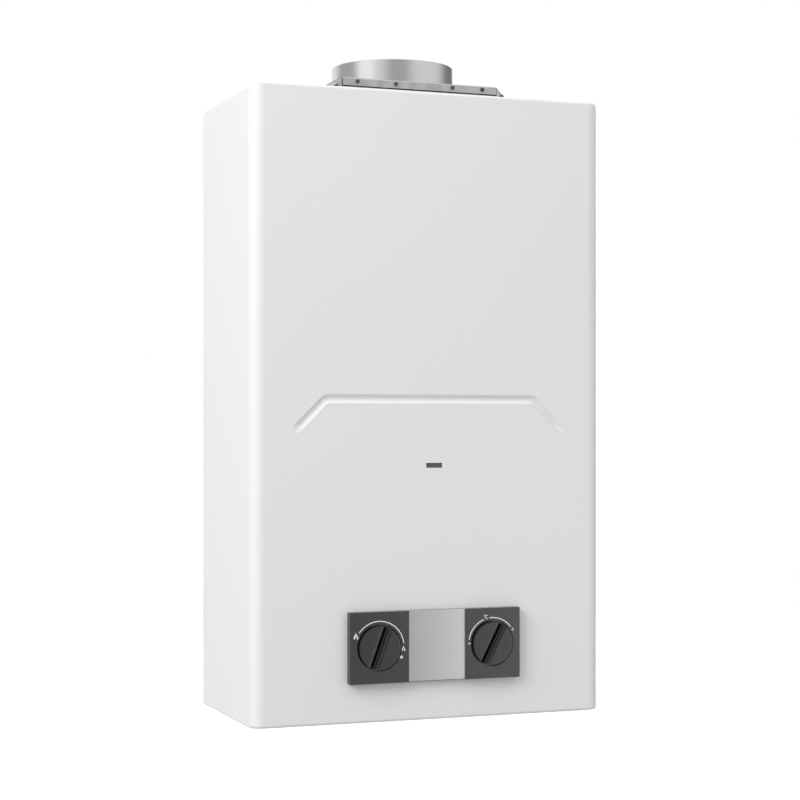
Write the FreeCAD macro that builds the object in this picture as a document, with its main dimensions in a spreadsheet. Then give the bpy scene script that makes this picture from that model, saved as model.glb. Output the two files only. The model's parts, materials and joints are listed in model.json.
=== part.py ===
import FreeCAD, Part
import math
import os
from types import SimpleNamespace

import Sketcher

# A wall-hung gas water heater. X runs to the right, Y into the wall and Z up.
# The wall is the plane Y = 0, and the origin is midway between the two hook holes.

SIZES = {
    # Casing
    "casing_width": 329.0,
    "casing_height": 550.6,
    "casing_depth": 160.0,
    "casing_sheet": 0.8,
    "wall_gap": 6.0,
    "side_radius": 12.0,
    "top_radius": 2.5,
    "rim_rise": 2.8,
    "rim_depth": 4.5,
    "rim_slope": 6.0,
    "rim_bend": 4.0,
    "back_corner": 6.0,
    "bottom_radius": 2.5,
    "bottom_lip": 14.0,
    "tab_width": 28.0,
    "spindle_hole": 8.0,
    # Pressed groove and sight slot in the front
    "groove_height": 281.0,
    "groove_length": 195.4,
    "groove_width": 8.2,
    "groove_depth": 2.6,
    "groove_leg": 26.6,
    "groove_bend": 8.0,
    "slot_offset": 2.6,
    "slot_width": 15.1,
    "slot_height": 4.3,
    "slot_centre": 222.9,
    "window_width": 24.0,
    "window_height": 12.0,
    "window_glass": 2.0,
    # Back plate
    "hook_drop": 30.6,
    "hook_spacing": 260.0,
    "hook_hole": 5.0,
    "foot_spacing": 220.0,
    "foot_hole": 3.2,
    "foot_height": 56.0,
    "plate_inset": 4.0,
    "plate_sheet": 1.2,
    "plate_flange": 14.0,
    "plate_fit": 0.3,
    "hanger_depth": 30.0,
    "hanger_width": 46.0,
    "hanger_offset": 126.0,
    "screw_radius": 1.9,
    "screw_head": 3.6,
    "screw_rise": 1.8,
    "screw_length": 8.0,
    "casing_screw_offset": 140.0,
    "casing_screw_depth": 11.0,
    # Control panel
    "controls_offset": 1.7,
    "controls_height": 65.6,
    "panel_width": 159.5,
    "panel_height": 62.1,
    "panel_depth": 7.5,
    "panel_wall": 2.0,
    "panel_corner": 0.7,
    "panel_edge": 0.5,
    "centre_offset": 3.1,
    "centre_width": 54.0,
    "centre_recess": 2.0,
    "centre_sheet": 1.4,
    "centre_short": 0.6,
    "panel_screw_x": 68.0,
    "panel_screw_z": 23.0,
    "boss_radius": 4.0,
    # Knobs
    "knob_offset": 53.0,
    "knob_radius": 19.0,
    "knob_gap": 1.4,
    "knob_recess": 3.0,
    "knob_float": 0.4,
    "knob_stand": 2.6,
    "knob_edge": 0.8,
    "grip_crest": 0.7,
    "grip_root": 1.3,
    "grip_width": 9.0,
    "grip_depth": 2.8,
    "knob_hub": 6.0,
    "power_angle": 20.0,
    "temperature_angle": 27.4,
    "spindle_radius": 3.0,
    "running_gap": 0.08,
    "spindle_seat": 1.0,
    "spindle_tip": 1.5,
    "spindle_in_knob": 1.8,
    # Draught hood and flue collar
    "collar_bore": 55.0,
    "collar_wall": 0.7,
    "collar_rise": 23.1,
    "collar_rim": 1.8,
    "collar_setback": 99.5,
    "hood_rise": 13.0,
    "hood_half": 74.4,
    "hood_setback": 26.3,
    "hood_shoulder": 520.0,
    "hood_sheet": 0.8,
    "hood_strip": 7.0,
    "strip_gap": 1.2,
    "strip_bend": 1.2,
    "hood_rear": 9.0,
    "hood_gap": 2.0,
    "relief_height": 26.0,
    "relief_width": 180.0,
    "hood_screw_outer": 59.5,
    "hood_screw_inner": 27.0,
    "hood_screw_shift": 3.6,
    "hood_screw_drop": 3.3,
    "hood_screw_radius": 1.3,
    "hood_screw_head": 2.2,
    "wing_screw_offset": 4.4,
    "wing_screw_rise": 4.4,
    # Heat exchanger
    "chamber_width": 236.0,
    "chamber_depth": 118.0,
    "chamber_rear": 20.0,
    "chamber_bottom": 192.0,
    "chamber_top": 455.0,
    "chamber_sheet": 0.8,
    "chamber_flange": 9.0,
    "fin_bottom": 388.0,
    "fin_height": 60.0,
    "fin_sheet": 0.5,
    "fin_pitch": 6.0,
    "fin_count": 37,
    "tube_radius": 7.0,
    "tube_wall": 0.8,
    "tube_pitch": 20.0,
    "tube_count": 6,
    "tube_reach": 5.0,
    "tube_height": 420.0,
    "pipe_radius": 6.0,
    "pipe_wall": 1.0,
    "pipe_clear": 0.3,
    "pipe_bend": 15.0,
    "outlet_bend": 12.0,
    "coil_bottom": 234.0,
    "coil_rise": 11.0,
    "feed_bend": 9.0,
    "feed_nut_flats": 20.0,
    # Thermostats
    "thermostat_drop": 14.0,
    "thermostat_radius": 8.0,
    "thermostat_depth": 8.0,
    "thermostat_flange": 24.0,
    "thermostat_height": 8.0,
    "thermostat_tab": 4.8,
    "thermostat_blade": 2.0,
    # Burner
    "burner_bottom": 150.0,
    "burner_top": 200.0,
    "burner_sheet": 1.2,
    "bar_sheet": 0.6,
    "burner_fit": 0.2,
    "bar_count": 12,
    "bar_pitch": 18.0,
    "bar_width": 9.0,
    "bar_top": 190.0,
    "bar_slots": 12,
    "bar_slot": 1.6,
    "bar_slot_pitch": 8.5,
    "bar_slot_depth": 8.0,
    "mixer_radius": 7.0,
    "mixer_wall": 1.5,
    "mixer_height": 137.0,
    "mixer_length": 72.0,
    "manifold_radius": 6.5,
    "manifold_wall": 1.2,
    "riser_radius": 5.2,
    "manifold_bend": 7.8,
    "manifold_rise": 13.0,
    "manifold_clear": 9.0,
    "injector_radius": 3.0,
    "injector_bore": 0.6,
    "injector_length": 7.0,
    # Ignition at the burner
    "electrode_height": 209.0,
    "electrode_offset": 16.0,
    "ceramic_radius": 3.0,
    "ceramic_length": 22.0,
    "probe_radius": 1.0,
    "probe_length": 22.0,
    "electrode_plate": 1.5,
    # Valves
    "rod_radius": 3.0,
    "valve_setback": 54.0,
    "valve_half_depth": 28.0,
    "gas_left": -84.0,
    "gas_right": -15.0,
    "gas_bottom": 38.6,
    "gas_top": 92.6,
    "gas_chamber_left": -72.0,
    "gas_seat": -41.0,
    "gas_seat_wall": 5.0,
    "gas_chamber_right": -21.0,
    "gas_chamber_radius": 15.0,
    "seat_bore": 8.0,
    "disc_radius": 11.0,
    "disc_thickness": 3.0,
    "disc_gap": 0.3,
    "cap_rim": 2.0,
    "spring_radius": 6.0,
    "spring_wire": 0.7,
    "spring_turns": 5,
    "plug_cover": 1.0,
    "plug_radius": 8.0,
    "plug_depth": 10.0,
    "solenoid_radius": 12.0,
    "solenoid_length": 30.0,
    "solenoid_x": -64.0,
    "cover_left": 2.0,
    "cover_width": 12.0,
    "cover_wall": 4.0,
    "diaphragm_rim": 33.0,
    "diaphragm_bore": 26.0,
    "diaphragm_sheet": 2.0,
    "backing_radius": 22.0,
    "backing_width": 2.7,
    "backing_gap": 0.3,
    "water_flange": 10.0,
    "water_chamber": 4.0,
    "water_right": 96.0,
    "water_bottom": 38.6,
    "water_top": 90.6,
    "cover_screw_circle": 29.5,
    "cover_screw_count": 6,
    "cover_screw_head": 3.35,
    "regulator_cover": 6.0,
    "regulator_radius": 5.0,
    "regulator_length": 9.0,
    "drain_x": 44.0,
    "drain_setback": 32.0,
    "drain_radius": 5.0,
    "drain_length": 14.0,
    "drain_neck": 8.0,
    # Connections
    "connection_setback": 71.0,
    "hot_x": -115.0,
    "gas_x": -50.0,
    "cold_x": 75.0,
    "thread_radius": 10.48,
    "neck_radius": 10.2,
    "thread_bore": 8.0,
    "thread_below": 8.0,
    "bracket_height": 14.0,
    "bracket_sheet": 1.5,
    "bracket_flange": 24.0,
    "bracket_left": -140.0,
    "bracket_setback": 45.0,
    "shelf_rim": 12.0,
    "nut_flats": 27.0,
    "nut_height": 7.0,
    "filter_radius": 7.4,
    "filter_wall": 0.6,
    "filter_length": 34.0,
    # Microswitch
    "switch_width": 7.0,
    "switch_depth": 12.0,
    "switch_height": 18.0,
    "lever_arm": 15.0,
    "lever_sheet": 0.8,
    "lever_width": 5.0,
    "pivot_radius": 1.0,
    "pivot_length": 4.0,
    "collar_radius": 5.0,
    "collar_width": 2.0,
    # Electrics
    "battery_radius": 16.6,
    "battery_length": 61.0,
    "battery_wall": 2.0,
    "battery_gap": 0.5,
    "battery_left": 108.0,
    "battery_setback": 17.0,
    "battery_bottom": 6.0,
    "lid_sheet": 1.8,
    "lid_gap": 0.3,
    "knuckle_radius": 1.8,
    "ear_width": 5.0,
    "catch_inset": 20.0,
    "ignition_left": -157.0,
    "ignition_setback": 14.0,
    "ignition_depth": 44.0,
    "ignition_bottom": 108.0,
    "ignition_top": 180.0,
    "lead_radius": 1.2,
}

class Length:
    """A number and the sheet expression that gives it."""

    def __init__(self, value, text):
        self.value = value
        self.text = text

    def __add__(self, other):
        return joined(self, "+", other, lambda a, b: a + b)

    def __radd__(self, other):
        return joined(other, "+", self, lambda a, b: a + b)

    def __sub__(self, other):
        return joined(self, "-", other, lambda a, b: a - b)

    def __rsub__(self, other):
        return joined(other, "-", self, lambda a, b: a - b)

    def __mul__(self, other):
        return joined(self, "*", other, lambda a, b: a * b)

    def __rmul__(self, other):
        return joined(other, "*", self, lambda a, b: a * b)

    def __truediv__(self, other):
        return joined(self, "/", other, lambda a, b: a / b)

    def __neg__(self):
        return Length(-self.value, "(-%s)" % self.text)


def length(item):
    """The item as a Length, with a plain number written out as it is."""
    return item if isinstance(item, Length) else Length(float(item), "(%s)" % float(item))


def joined(left, sign, right, work):
    left = length(left)
    right = length(right)
    return Length(work(left.value, right.value), "(%s %s %s)" % (left.text, sign, right.text))


def cosine(angle):
    return Length(math.cos(math.radians(angle.value)), "cos(%s)" % angle.text)


def sine(angle):
    return Length(math.sin(math.radians(angle.value)), "sin(%s)" % angle.text)


document = FreeCAD.newDocument("GasWaterHeater")
sheet = document.addObject("Spreadsheet::Sheet", "Sizes")
for row, (alias, number) in enumerate(SIZES.items(), start=1):
    sheet.set("A%d" % row, alias)
    sheet.set("B%d" % row, str(number))
    sheet.setAlias("B%d" % row, alias)
document.recompute()
S = SimpleNamespace(**{alias: Length(float(sheet.get(alias)), "Sizes." + alias) for alias in SIZES})

# Planes and lines that several pieces share

BOTTOM = S.hook_drop - S.casing_height
TOP = S.hook_drop
SHOULDER = TOP - S.rim_rise
SIDE = S.casing_width / 2
REAR = -S.wall_gap
FRONT = REAR - S.casing_depth
RIM_BACK = FRONT + S.rim_depth
SHOULDER_FRONT = RIM_BACK + S.rim_slope
INNER_FRONT = FRONT + S.casing_sheet

CONTROLS_Z = BOTTOM + S.controls_height
PANEL_FRONT = FRONT - S.panel_depth
PANEL_LEFT = S.controls_offset - S.panel_width / 2
PANEL_RIGHT = S.controls_offset + S.panel_width / 2
PANEL_BOTTOM = CONTROLS_Z - S.panel_height / 2
PANEL_TOP = CONTROLS_Z + S.panel_height / 2
POWER_X = S.controls_offset - S.knob_offset
TEMPERATURE_X = S.controls_offset + S.knob_offset
KNOB_FLOOR = PANEL_FRONT + S.knob_recess
KNOB_BACK = KNOB_FLOOR - S.knob_float
KNOB_FACE = PANEL_FRONT - S.knob_stand

HOOD_TOP = TOP + S.hood_rise
HOOD_FRONT = FRONT + S.hood_setback
HOOD_FOOT = S.hood_half + HOOD_TOP - BOTTOM - S.hood_shoulder
HOOD_AT_CASING = S.hood_half + HOOD_TOP - SHOULDER
COLLAR_Y = FRONT + S.collar_setback

CHAMBER_SIDE = S.chamber_width / 2
CHAMBER_REAR = -S.chamber_rear
CHAMBER_FRONT = CHAMBER_REAR - S.chamber_depth
CHAMBER_BOTTOM = BOTTOM + S.chamber_bottom
CHAMBER_TOP = BOTTOM + S.chamber_top
PIPE_OFFSET = S.pipe_radius + S.pipe_clear
TUBE_Z = BOTTOM + S.tube_height
TUBE_FRONT = (CHAMBER_FRONT + CHAMBER_REAR) / 2 - S.tube_pitch * (S.tube_count - 1) / 2
TUBE_REAR = TUBE_FRONT + S.tube_pitch * (S.tube_count - 1)
TUBE_END = CHAMBER_SIDE + S.tube_reach

FRAME_SIDE = CHAMBER_SIDE - S.chamber_sheet - S.burner_fit
FRAME_FRONT = CHAMBER_FRONT + S.chamber_sheet + S.burner_fit
FRAME_REAR = CHAMBER_REAR - S.chamber_sheet - S.burner_fit
BAR_FRONT = FRAME_FRONT + S.burner_sheet
BAR_REAR = FRAME_REAR - S.burner_sheet
MIXER_Z = BOTTOM + S.mixer_height
MANIFOLD_Y = FRAME_FRONT - S.manifold_clear - S.manifold_radius

VALVE_Y = FRONT + S.valve_setback
VALVE_FRONT = VALVE_Y - S.valve_half_depth
VALVE_REAR = VALVE_Y + S.valve_half_depth
GAS_BOTTOM = BOTTOM + S.gas_bottom
GAS_TOP = BOTTOM + S.gas_top
COVER_RIGHT = S.cover_left + S.cover_width
DIAPHRAGM_RIGHT = COVER_RIGHT + S.diaphragm_sheet
FLANGE_RIGHT = DIAPHRAGM_RIGHT + S.water_flange
BACKING_RIGHT = COVER_RIGHT - S.backing_gap
BACKING_LEFT = BACKING_RIGHT - S.backing_width
DISC_RIGHT = S.gas_seat - S.disc_gap
DISC_LEFT = DISC_RIGHT - S.disc_thickness
WATER_BOTTOM = BOTTOM + S.water_bottom
WATER_TOP = BOTTOM + S.water_top

WATER_OUT_X = S.water_right - 2 * S.pipe_radius
THERMOSTAT_X = -CHAMBER_SIDE / 2
OVERHEAT_Z = BOTTOM + S.fin_bottom - S.thermostat_drop
SPILLAGE_Z = BOTTOM + S.hood_shoulder - S.thermostat_drop
PLUG_FRONT = VALVE_FRONT + S.plug_cover
REGULATOR_FRONT = VALVE_FRONT + S.regulator_cover
FEED_X = CHAMBER_SIDE + PIPE_OFFSET + S.feed_nut_flats / 2
FEED_JOINT_Z = CHAMBER_BOTTOM - S.nut_height / 2

PORT_Y = FRONT + S.connection_setback
PORT_LOW = BOTTOM - S.thread_below
BRACKET_Z = BOTTOM + S.bracket_height
NUT_LOW = BRACKET_Z - S.nut_height

SWITCH_X = (S.gas_right + S.cover_left) / 2
COLLAR_LEFT = SWITCH_X + S.lever_sheet / 2 + S.disc_gap
PIVOT_Y = VALVE_Y - S.lever_arm
SWITCH_BASE = CONTROLS_Z + S.collar_radius + S.lever_sheet

BATTERY_RIGHT = S.battery_left + 2 * (S.battery_radius + S.battery_gap + S.battery_wall)
BATTERY_FRONT = FRONT + S.battery_setback
BATTERY_REAR = BATTERY_FRONT + 2 * S.battery_length + 2 * (S.battery_gap + S.battery_wall)
BATTERY_LOW = BOTTOM + S.battery_bottom
BATTERY_HIGH = BATTERY_LOW + 2 * S.battery_radius + 2 * S.battery_gap + S.battery_wall
BATTERY_X = (S.battery_left + BATTERY_RIGHT) / 2
LID_AXIS_X = BATTERY_RIGHT - S.knuckle_radius
LID_AXIS_Z = BATTERY_LOW - S.lid_gap - S.knuckle_radius
BATTERY_Z = BATTERY_LOW + S.battery_gap + S.battery_radius

# Helpers that make one shape each

PARTS = []


def place(thing, x, y, z):
    """Bind the position of an object to three lengths."""
    for axis, where in zip("xyz", (x, y, z)):
        thing.setExpression("Placement.Base." + axis, length(where).text)


def block(name, x, y, z):
    """A box between two stations on each axis."""
    box = document.addObject("Part::Box", name)
    for size, (low, high) in zip(("Length", "Width", "Height"), (x, y, z)):
        box.setExpression(size, (high - low).text)
    place(box, x[0], y[0], z[0])
    return box


TURNS = {
    "x": FreeCAD.Rotation(FreeCAD.Vector(0, 1, 0), 90),
    "y": FreeCAD.Rotation(FreeCAD.Vector(1, 0, 0), -90),
    "z": FreeCAD.Rotation(),
}


def along(axis, centre, station):
    """A point on a line parallel to an axis, given by its two other coordinates."""
    first, second = centre
    return {
        "x": (station, first, second),
        "y": (first, station, second),
        "z": (first, second, station),
    }[axis]


def rod(name, axis, centre, reach, radius):
    """A cylinder along an axis between two stations."""
    low, high = reach
    cylinder = document.addObject("Part::Cylinder", name)
    cylinder.setExpression("Radius", length(radius).text)
    cylinder.setExpression("Height", (high - low).text)
    cylinder.Placement = FreeCAD.Placement(FreeCAD.Vector(), TURNS[axis])
    place(cylinder, *along(axis, centre, low))
    return cylinder


def ball(name, centre, radius):
    sphere = document.addObject("Part::Sphere", name)
    sphere.setExpression("Radius", radius.text)
    place(sphere, *centre)
    return sphere


def nut(name, centre, reach, flats):
    """A vertical hexagon between two stations."""
    low, high = reach
    prism = document.addObject("Part::Prism", name)
    prism.Polygon = 6
    prism.setExpression("Circumradius", (flats / 2 / math.cos(math.radians(30))).text)
    prism.setExpression("Height", (high - low).text)
    place(prism, centre[0], centre[1], low)
    return prism


def fuse(name, *pieces):
    union = document.addObject("Part::MultiFuse", name)
    union.Shapes = list(pieces)
    union.Refine = True
    return union


def cut(name, base, *tools):
    difference = document.addObject("Part::Cut", name)
    difference.Base = base
    difference.Tool = tools[0] if len(tools) == 1 else fuse(name + "_tools", *tools)
    difference.Refine = True
    return difference


def keep(thing, label):
    """Name a finished sub-part and put it on the list that is written out."""
    thing.Label = label
    PARTS.append(thing)
    return thing


def plane(body, role):
    return next(feature for feature in body.Origin.OriginFeatures if feature.Role == role)


def sketch_on(body, role, name, offset):
    """A sketch on one of the body's own planes, moved along the plane's normal."""
    sketch = body.newObject("Sketcher::SketchObject", name)
    sketch.AttachmentSupport = [(plane(body, role), "")]
    sketch.MapMode = "FlatFace"
    sketch.setExpression("AttachmentOffset.Base.z", length(offset).text)
    return sketch


def pin_point(sketch, line, x, y):
    """Fix the start of a line, or the centre of a circle, at two lengths from the origin."""
    end = 3 if sketch.Geometry[line].TypeId == "Part::GeomCircle" else 1
    for kind, where in (("DistanceX", length(x)), ("DistanceY", length(y))):
        index = sketch.addConstraint(Sketcher.Constraint(kind, -1, 1, line, end, where.value))
        sketch.setExpression("Constraints[%d]" % index, where.text)


def polygon(sketch, corners):
    """A closed outline of straight lines through the corners."""
    corners = [(length(x), length(y)) for x, y in corners]
    points = [FreeCAD.Vector(x.value, y.value, 0) for x, y in corners]
    first = sketch.GeometryCount
    count = len(points)
    for index in range(count):
        sketch.addGeometry(Part.LineSegment(points[index], points[(index + 1) % count]), False)
    for index, (x, y) in enumerate(corners):
        line = first + index
        before = first + (index - 1) % count
        sketch.addConstraint(Sketcher.Constraint("Coincident", line, 1, before, 2))
        pin_point(sketch, line, x, y)


def circle(sketch, x, y, radius):
    centre = FreeCAD.Vector(length(x).value, length(y).value, 0)
    line = sketch.addGeometry(Part.Circle(centre, FreeCAD.Vector(0, 0, 1), length(radius).value), False)
    pin_point(sketch, line, x, y)
    index = sketch.addConstraint(Sketcher.Constraint("Radius", line, length(radius).value))
    sketch.setExpression("Constraints[%d]" % index, length(radius).text)


def profile(name, role, corners, reach, holes=()):
    """A body padded between two stations, with round holes (x, y, radius) through it."""
    low, high = reach
    body = document.addObject("PartDesign::Body", name)
    offset = -high if role == "XZ_Plane" else low
    sketch = sketch_on(body, role, name + "_outline", offset)
    polygon(sketch, corners)
    for x, y, radius in holes:
        circle(sketch, x, y, radius)
    pad = body.newObject("PartDesign::Pad", name + "_pad")
    pad.Profile = sketch
    pad.setExpression("Length", (high - low).text)
    document.recompute()
    return body


def box_corners(x, y):
    return [(x[0], y[0]), (x[1], y[0]), (x[1], y[1]), (x[0], y[1])]


def round_edges(body, name, radius, chosen):
    """Round the edges of the body's last feature that the test picks."""
    base = body.Tip
    names = ["Edge%d" % (number + 1) for number, edge in enumerate(base.Shape.Edges) if chosen(edge)]
    fillet = body.newObject("PartDesign::Fillet", name)
    fillet.Base = (base, names)
    fillet.setExpression("Radius", length(radius).text)
    document.recompute()
    return fillet


def lies_at(edge, axis, where):
    """Whether every end of an edge has the same given coordinate."""
    return all(abs(getattr(vertex, axis) - length(where).value) < 1e-4 for vertex in edge.Vertexes)


def runs_along(edge, axis):
    """Whether an edge is straight and parallel to an axis."""
    others = [name for name in ("X", "Y", "Z") if name != axis]
    first, last = edge.Vertexes[0], edge.Vertexes[-1]
    return all(abs(getattr(first, name) - getattr(last, name)) < 1e-4 for name in others)


def vector(point):
    return FreeCAD.Vector(*(length(item).value for item in point))


def widest_bend(before, corner, after):
    """The radius of an arc that takes nearly half of the shorter of its two runs."""
    shorter = min((corner - before).Length, (after - corner).Length)
    return 0.45 * shorter / math.tan((corner - before).getAngle(after - corner) / 2)


def rounded_path(points, radius=None):
    """Straight runs joined by tangent arcs of one radius, or of the widest that each corner takes."""
    edges = []
    start = points[0]
    for before, corner, after in zip(points, points[1:], points[2:]):
        bend = widest_bend(before, corner, after) if radius is None else radius
        arriving = (corner - before).normalize()
        leaving = (after - corner).normalize()
        turn = arriving.getAngle(leaving)
        reach = bend * math.tan(turn / 2)
        first = corner - arriving * reach
        last = corner + leaving * reach
        inward = (leaving - arriving).normalize()
        centre = corner + inward * (bend / math.cos(turn / 2))
        if (first - start).Length > 1e-6:
            edges.append(Part.LineSegment(start, first).toShape())
        edges.append(Part.Arc(first, centre - inward * bend, last).toShape())
        start = last
    edges.append(Part.LineSegment(start, points[-1]).toShape())
    return Part.Wire(edges)


def swept(path, radius):
    """A round bar along a path."""
    start = path.Edges[0]
    direction = start.tangentAt(start.FirstParameter)
    ring = Part.Wire(Part.makeCircle(radius, path.OrderedVertexes[0].Point, direction))
    return path.makePipeShell([ring], True, False)


def pipe_shape(points, radius, wall, bend):
    """A bent tube, or a bent bar where the wall is None."""
    path = rounded_path([vector(point) for point in points], length(bend).value)
    outside = swept(path, radius.value)
    if wall is None:
        return outside
    return outside.cut(swept(path, (radius - wall).value))


def pipe(name, points, radius, wall, bend):
    feature = document.addObject("Part::Feature", name)
    feature.Shape = pipe_shape(points, radius, wall, bend)
    return feature


def screw(name, axis, centre, head_at, inward, radius, head, rise, reach):
    """A screw whose head sits outside head_at, and whose shank runs inward (+1 or -1)."""
    if inward > 0:
        shank = (head_at, head_at + reach)
        cap = (head_at - rise, head_at)
    else:
        shank = (head_at - reach, head_at)
        cap = (head_at, head_at + rise)
    return [rod(name + "_shank", axis, centre, shank, radius), rod(name + "_head", axis, centre, cap, head)]


# Casing


def casing_solid(name, inset, rear):
    """The casing as a rounded solid block, inset by the thickness of the sheet.

    Its front stands up as a rim, and the rest of the top lies lower behind a slope.
    """
    side = SIDE - inset
    low = BOTTOM + inset
    rim = TOP - inset
    high = SHOULDER - inset
    front = FRONT + inset
    body = profile(name, "XY_Plane", box_corners((-side, side), (front, rear)), (low, rim))
    round_edges(body, name + "_sides", S.side_radius - inset,
                lambda edge: runs_along(edge, "Z") and lies_at(edge, "Y", front))
    above = rim + S.rim_rise
    drop = sketch_on(body, "YZ_Plane", name + "_drop", 0)
    polygon(drop, [(RIM_BACK, rim), (SHOULDER_FRONT, high), (rear, high), (rear, above), (RIM_BACK, above)])
    lowered = body.newObject("PartDesign::Pocket", name + "_lowered")
    lowered.Profile = drop
    lowered.Midplane = True
    lowered.setExpression("Length", (2 * S.casing_width).text)
    document.recompute()
    round_edges(body, name + "_bends", S.rim_bend,
                lambda edge: runs_along(edge, "X") and (lies_at(edge, "Y", RIM_BACK)
                                                        or lies_at(edge, "Y", SHOULDER_FRONT)))
    round_edges(body, name + "_back", S.back_corner,
                lambda edge: lies_at(edge, "Z", high) and lies_at(edge, "Y", rear))
    round_edges(body, name + "_top", S.top_radius - inset,
                lambda edge: lies_at(edge, "Z", rim) and lies_at(edge, "Y", front))
    round_edges(body, name + "_bottom", S.bottom_radius - inset,
                lambda edge: lies_at(edge, "Z", low) and not lies_at(edge, "Y", rear))
    return body


def groove_bar(name, inset):
    """The bent bar with round ends whose shape is pressed into the front."""
    half = S.groove_width / 2
    radius = (half * half + S.groove_depth * S.groove_depth) / (2 * S.groove_depth)
    y = FRONT + S.groove_depth - radius
    z = BOTTOM + S.groove_height
    run = S.groove_length / 2
    leg = S.groove_leg
    points = [(-run - leg, y, z - leg), (-run, y, z), (run, y, z), (run + leg, y, z - leg)]
    bar = pipe(name + "_bar", points, radius + inset, None, S.groove_bend)
    left = ball(name + "_left_end", points[0], radius + inset)
    right = ball(name + "_right_end", points[-1], radius + inset)
    return fuse(name, bar, left, right)


def front_casing():
    outer = casing_solid("casing_outside", length(0), REAR)
    inner = casing_solid("casing_inside", S.casing_sheet, REAR + S.side_radius)
    pressed = cut("casing_pressed", outer, groove_bar("groove_outside", length(0)))
    hollow = cut("casing_hollow", inner, groove_bar("groove_inside", S.casing_sheet))
    shell = cut("casing_shell", pressed, hollow)
    lip = S.casing_sheet + S.bottom_lip
    open_bottom = block("casing_open_bottom", (lip - SIDE, SIDE - lip), (FRONT + lip, REAR + lip),
                        (BOTTOM - lip, BOTTOM + lip))
    hood_side = HOOD_AT_CASING + S.hood_gap
    open_top = block("casing_open_top", (-hood_side, hood_side), (HOOD_FRONT - S.hood_gap, REAR + lip),
                     (SHOULDER - lip, SHOULDER + lip))
    through = (FRONT - lip, INNER_FRONT + S.window_glass)
    slot_z = BOTTOM + S.slot_centre
    slot = block("casing_slot", (S.slot_offset - S.slot_width / 2, S.slot_offset + S.slot_width / 2),
                 through, (slot_z - S.slot_height / 2, slot_z + S.slot_height / 2))
    holes = [rod("casing_power_hole", "y", (POWER_X, CONTROLS_Z), through, S.spindle_hole),
             rod("casing_temperature_hole", "y", (TEMPERATURE_X, CONTROLS_Z), through, S.spindle_hole)]
    for number, (x, z) in enumerate(panel_screw_places()):
        holes.append(rod("casing_panel_hole_%d" % number, "y", (x, z), through, S.screw_radius))
    for number, x in enumerate(casing_screw_places()):
        holes.append(rod("casing_screw_hole_%d" % number, "z", (x, casing_screw_y()),
                         (BOTTOM - lip, BOTTOM + S.casing_sheet + S.plate_fit), S.screw_radius))
    tabs = [block("casing_tab_%d" % number, (x - S.tab_width / 2, x + S.tab_width / 2),
                  (casing_tab_front(), REAR),
                  (BOTTOM, BOTTOM + S.casing_sheet))
            for number, x in enumerate(casing_screw_places())]
    opened = cut("casing_opened", shell, open_bottom, open_top)
    tabbed = fuse("casing_tabbed", opened, *tabs)
    keep(cut("casing", tabbed, slot, *holes), "front_casing")


def casing_screw_places():
    return [-S.casing_screw_offset, S.casing_screw_offset]


def casing_screw_y():
    return REAR - S.casing_screw_depth


def casing_tab_front():
    return casing_screw_y() - S.screw_head - S.casing_sheet


def casing_screws():
    pieces = []
    for number, x in enumerate(casing_screw_places()):
        pieces += screw("casing_screw_%d" % number, "z", (x, casing_screw_y()), BOTTOM, 1,
                        S.screw_radius, S.screw_head, S.screw_rise, S.screw_length)
    keep(fuse("casing_screw_set", *pieces), "casing_screws")


def sight_window():
    z = BOTTOM + S.slot_centre
    x = S.slot_offset
    glass = block("window_glass", (x - S.window_width / 2, x + S.window_width / 2),
                  (INNER_FRONT, INNER_FRONT + S.window_glass),
                  (z - S.window_height / 2, z + S.window_height / 2))
    keep(glass, "sight_window")


# Back plate and the brackets that stand on it


def back_plate():
    side = SIDE - S.casing_sheet - S.plate_inset
    low = BOTTOM + S.casing_sheet + S.plate_fit
    high = SHOULDER - S.casing_sheet - S.plate_fit
    foot_z = BOTTOM + S.foot_height
    holes = [(-S.hook_spacing / 2, length(0), S.hook_hole),
             (S.hook_spacing / 2, length(0), S.hook_hole),
             (-S.foot_spacing / 2, foot_z, S.foot_hole),
             (S.foot_spacing / 2, foot_z, S.foot_hole)]
    panel = profile("plate_panel", "XZ_Plane", box_corners((-side, side), (low, high)),
                    (-S.plate_sheet, length(0)), holes)
    flange = (-S.plate_flange, length(0))
    sheets = [panel,
              block("plate_left", (-side, S.plate_sheet - side), flange, (low, high - S.top_radius)),
              block("plate_right", (side - S.plate_sheet, side), flange, (low, high - S.top_radius))]
    for number, x in enumerate((-S.hanger_offset, S.hanger_offset)):
        sheets.append(block("plate_hanger_%d" % number, (x - S.hanger_width / 2, x + S.hanger_width / 2),
                            (-S.hanger_depth, length(0)), (high - S.plate_sheet, high)))
    screw_holes = []
    for number, x in enumerate(casing_screw_places()):
        sheets.append(block("plate_foot_%d" % number, (x - S.tab_width / 2, x + S.tab_width / 2),
                            (casing_tab_front(), length(0)), (low, low + S.plate_sheet)))
        screw_holes.append(rod("plate_screw_hole_%d" % number, "z", (x, casing_screw_y()),
                               (low, low + S.plate_sheet), S.screw_radius))
    keep(cut("plate", fuse("plate_sheets", *sheets), *screw_holes), "back_plate")


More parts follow.
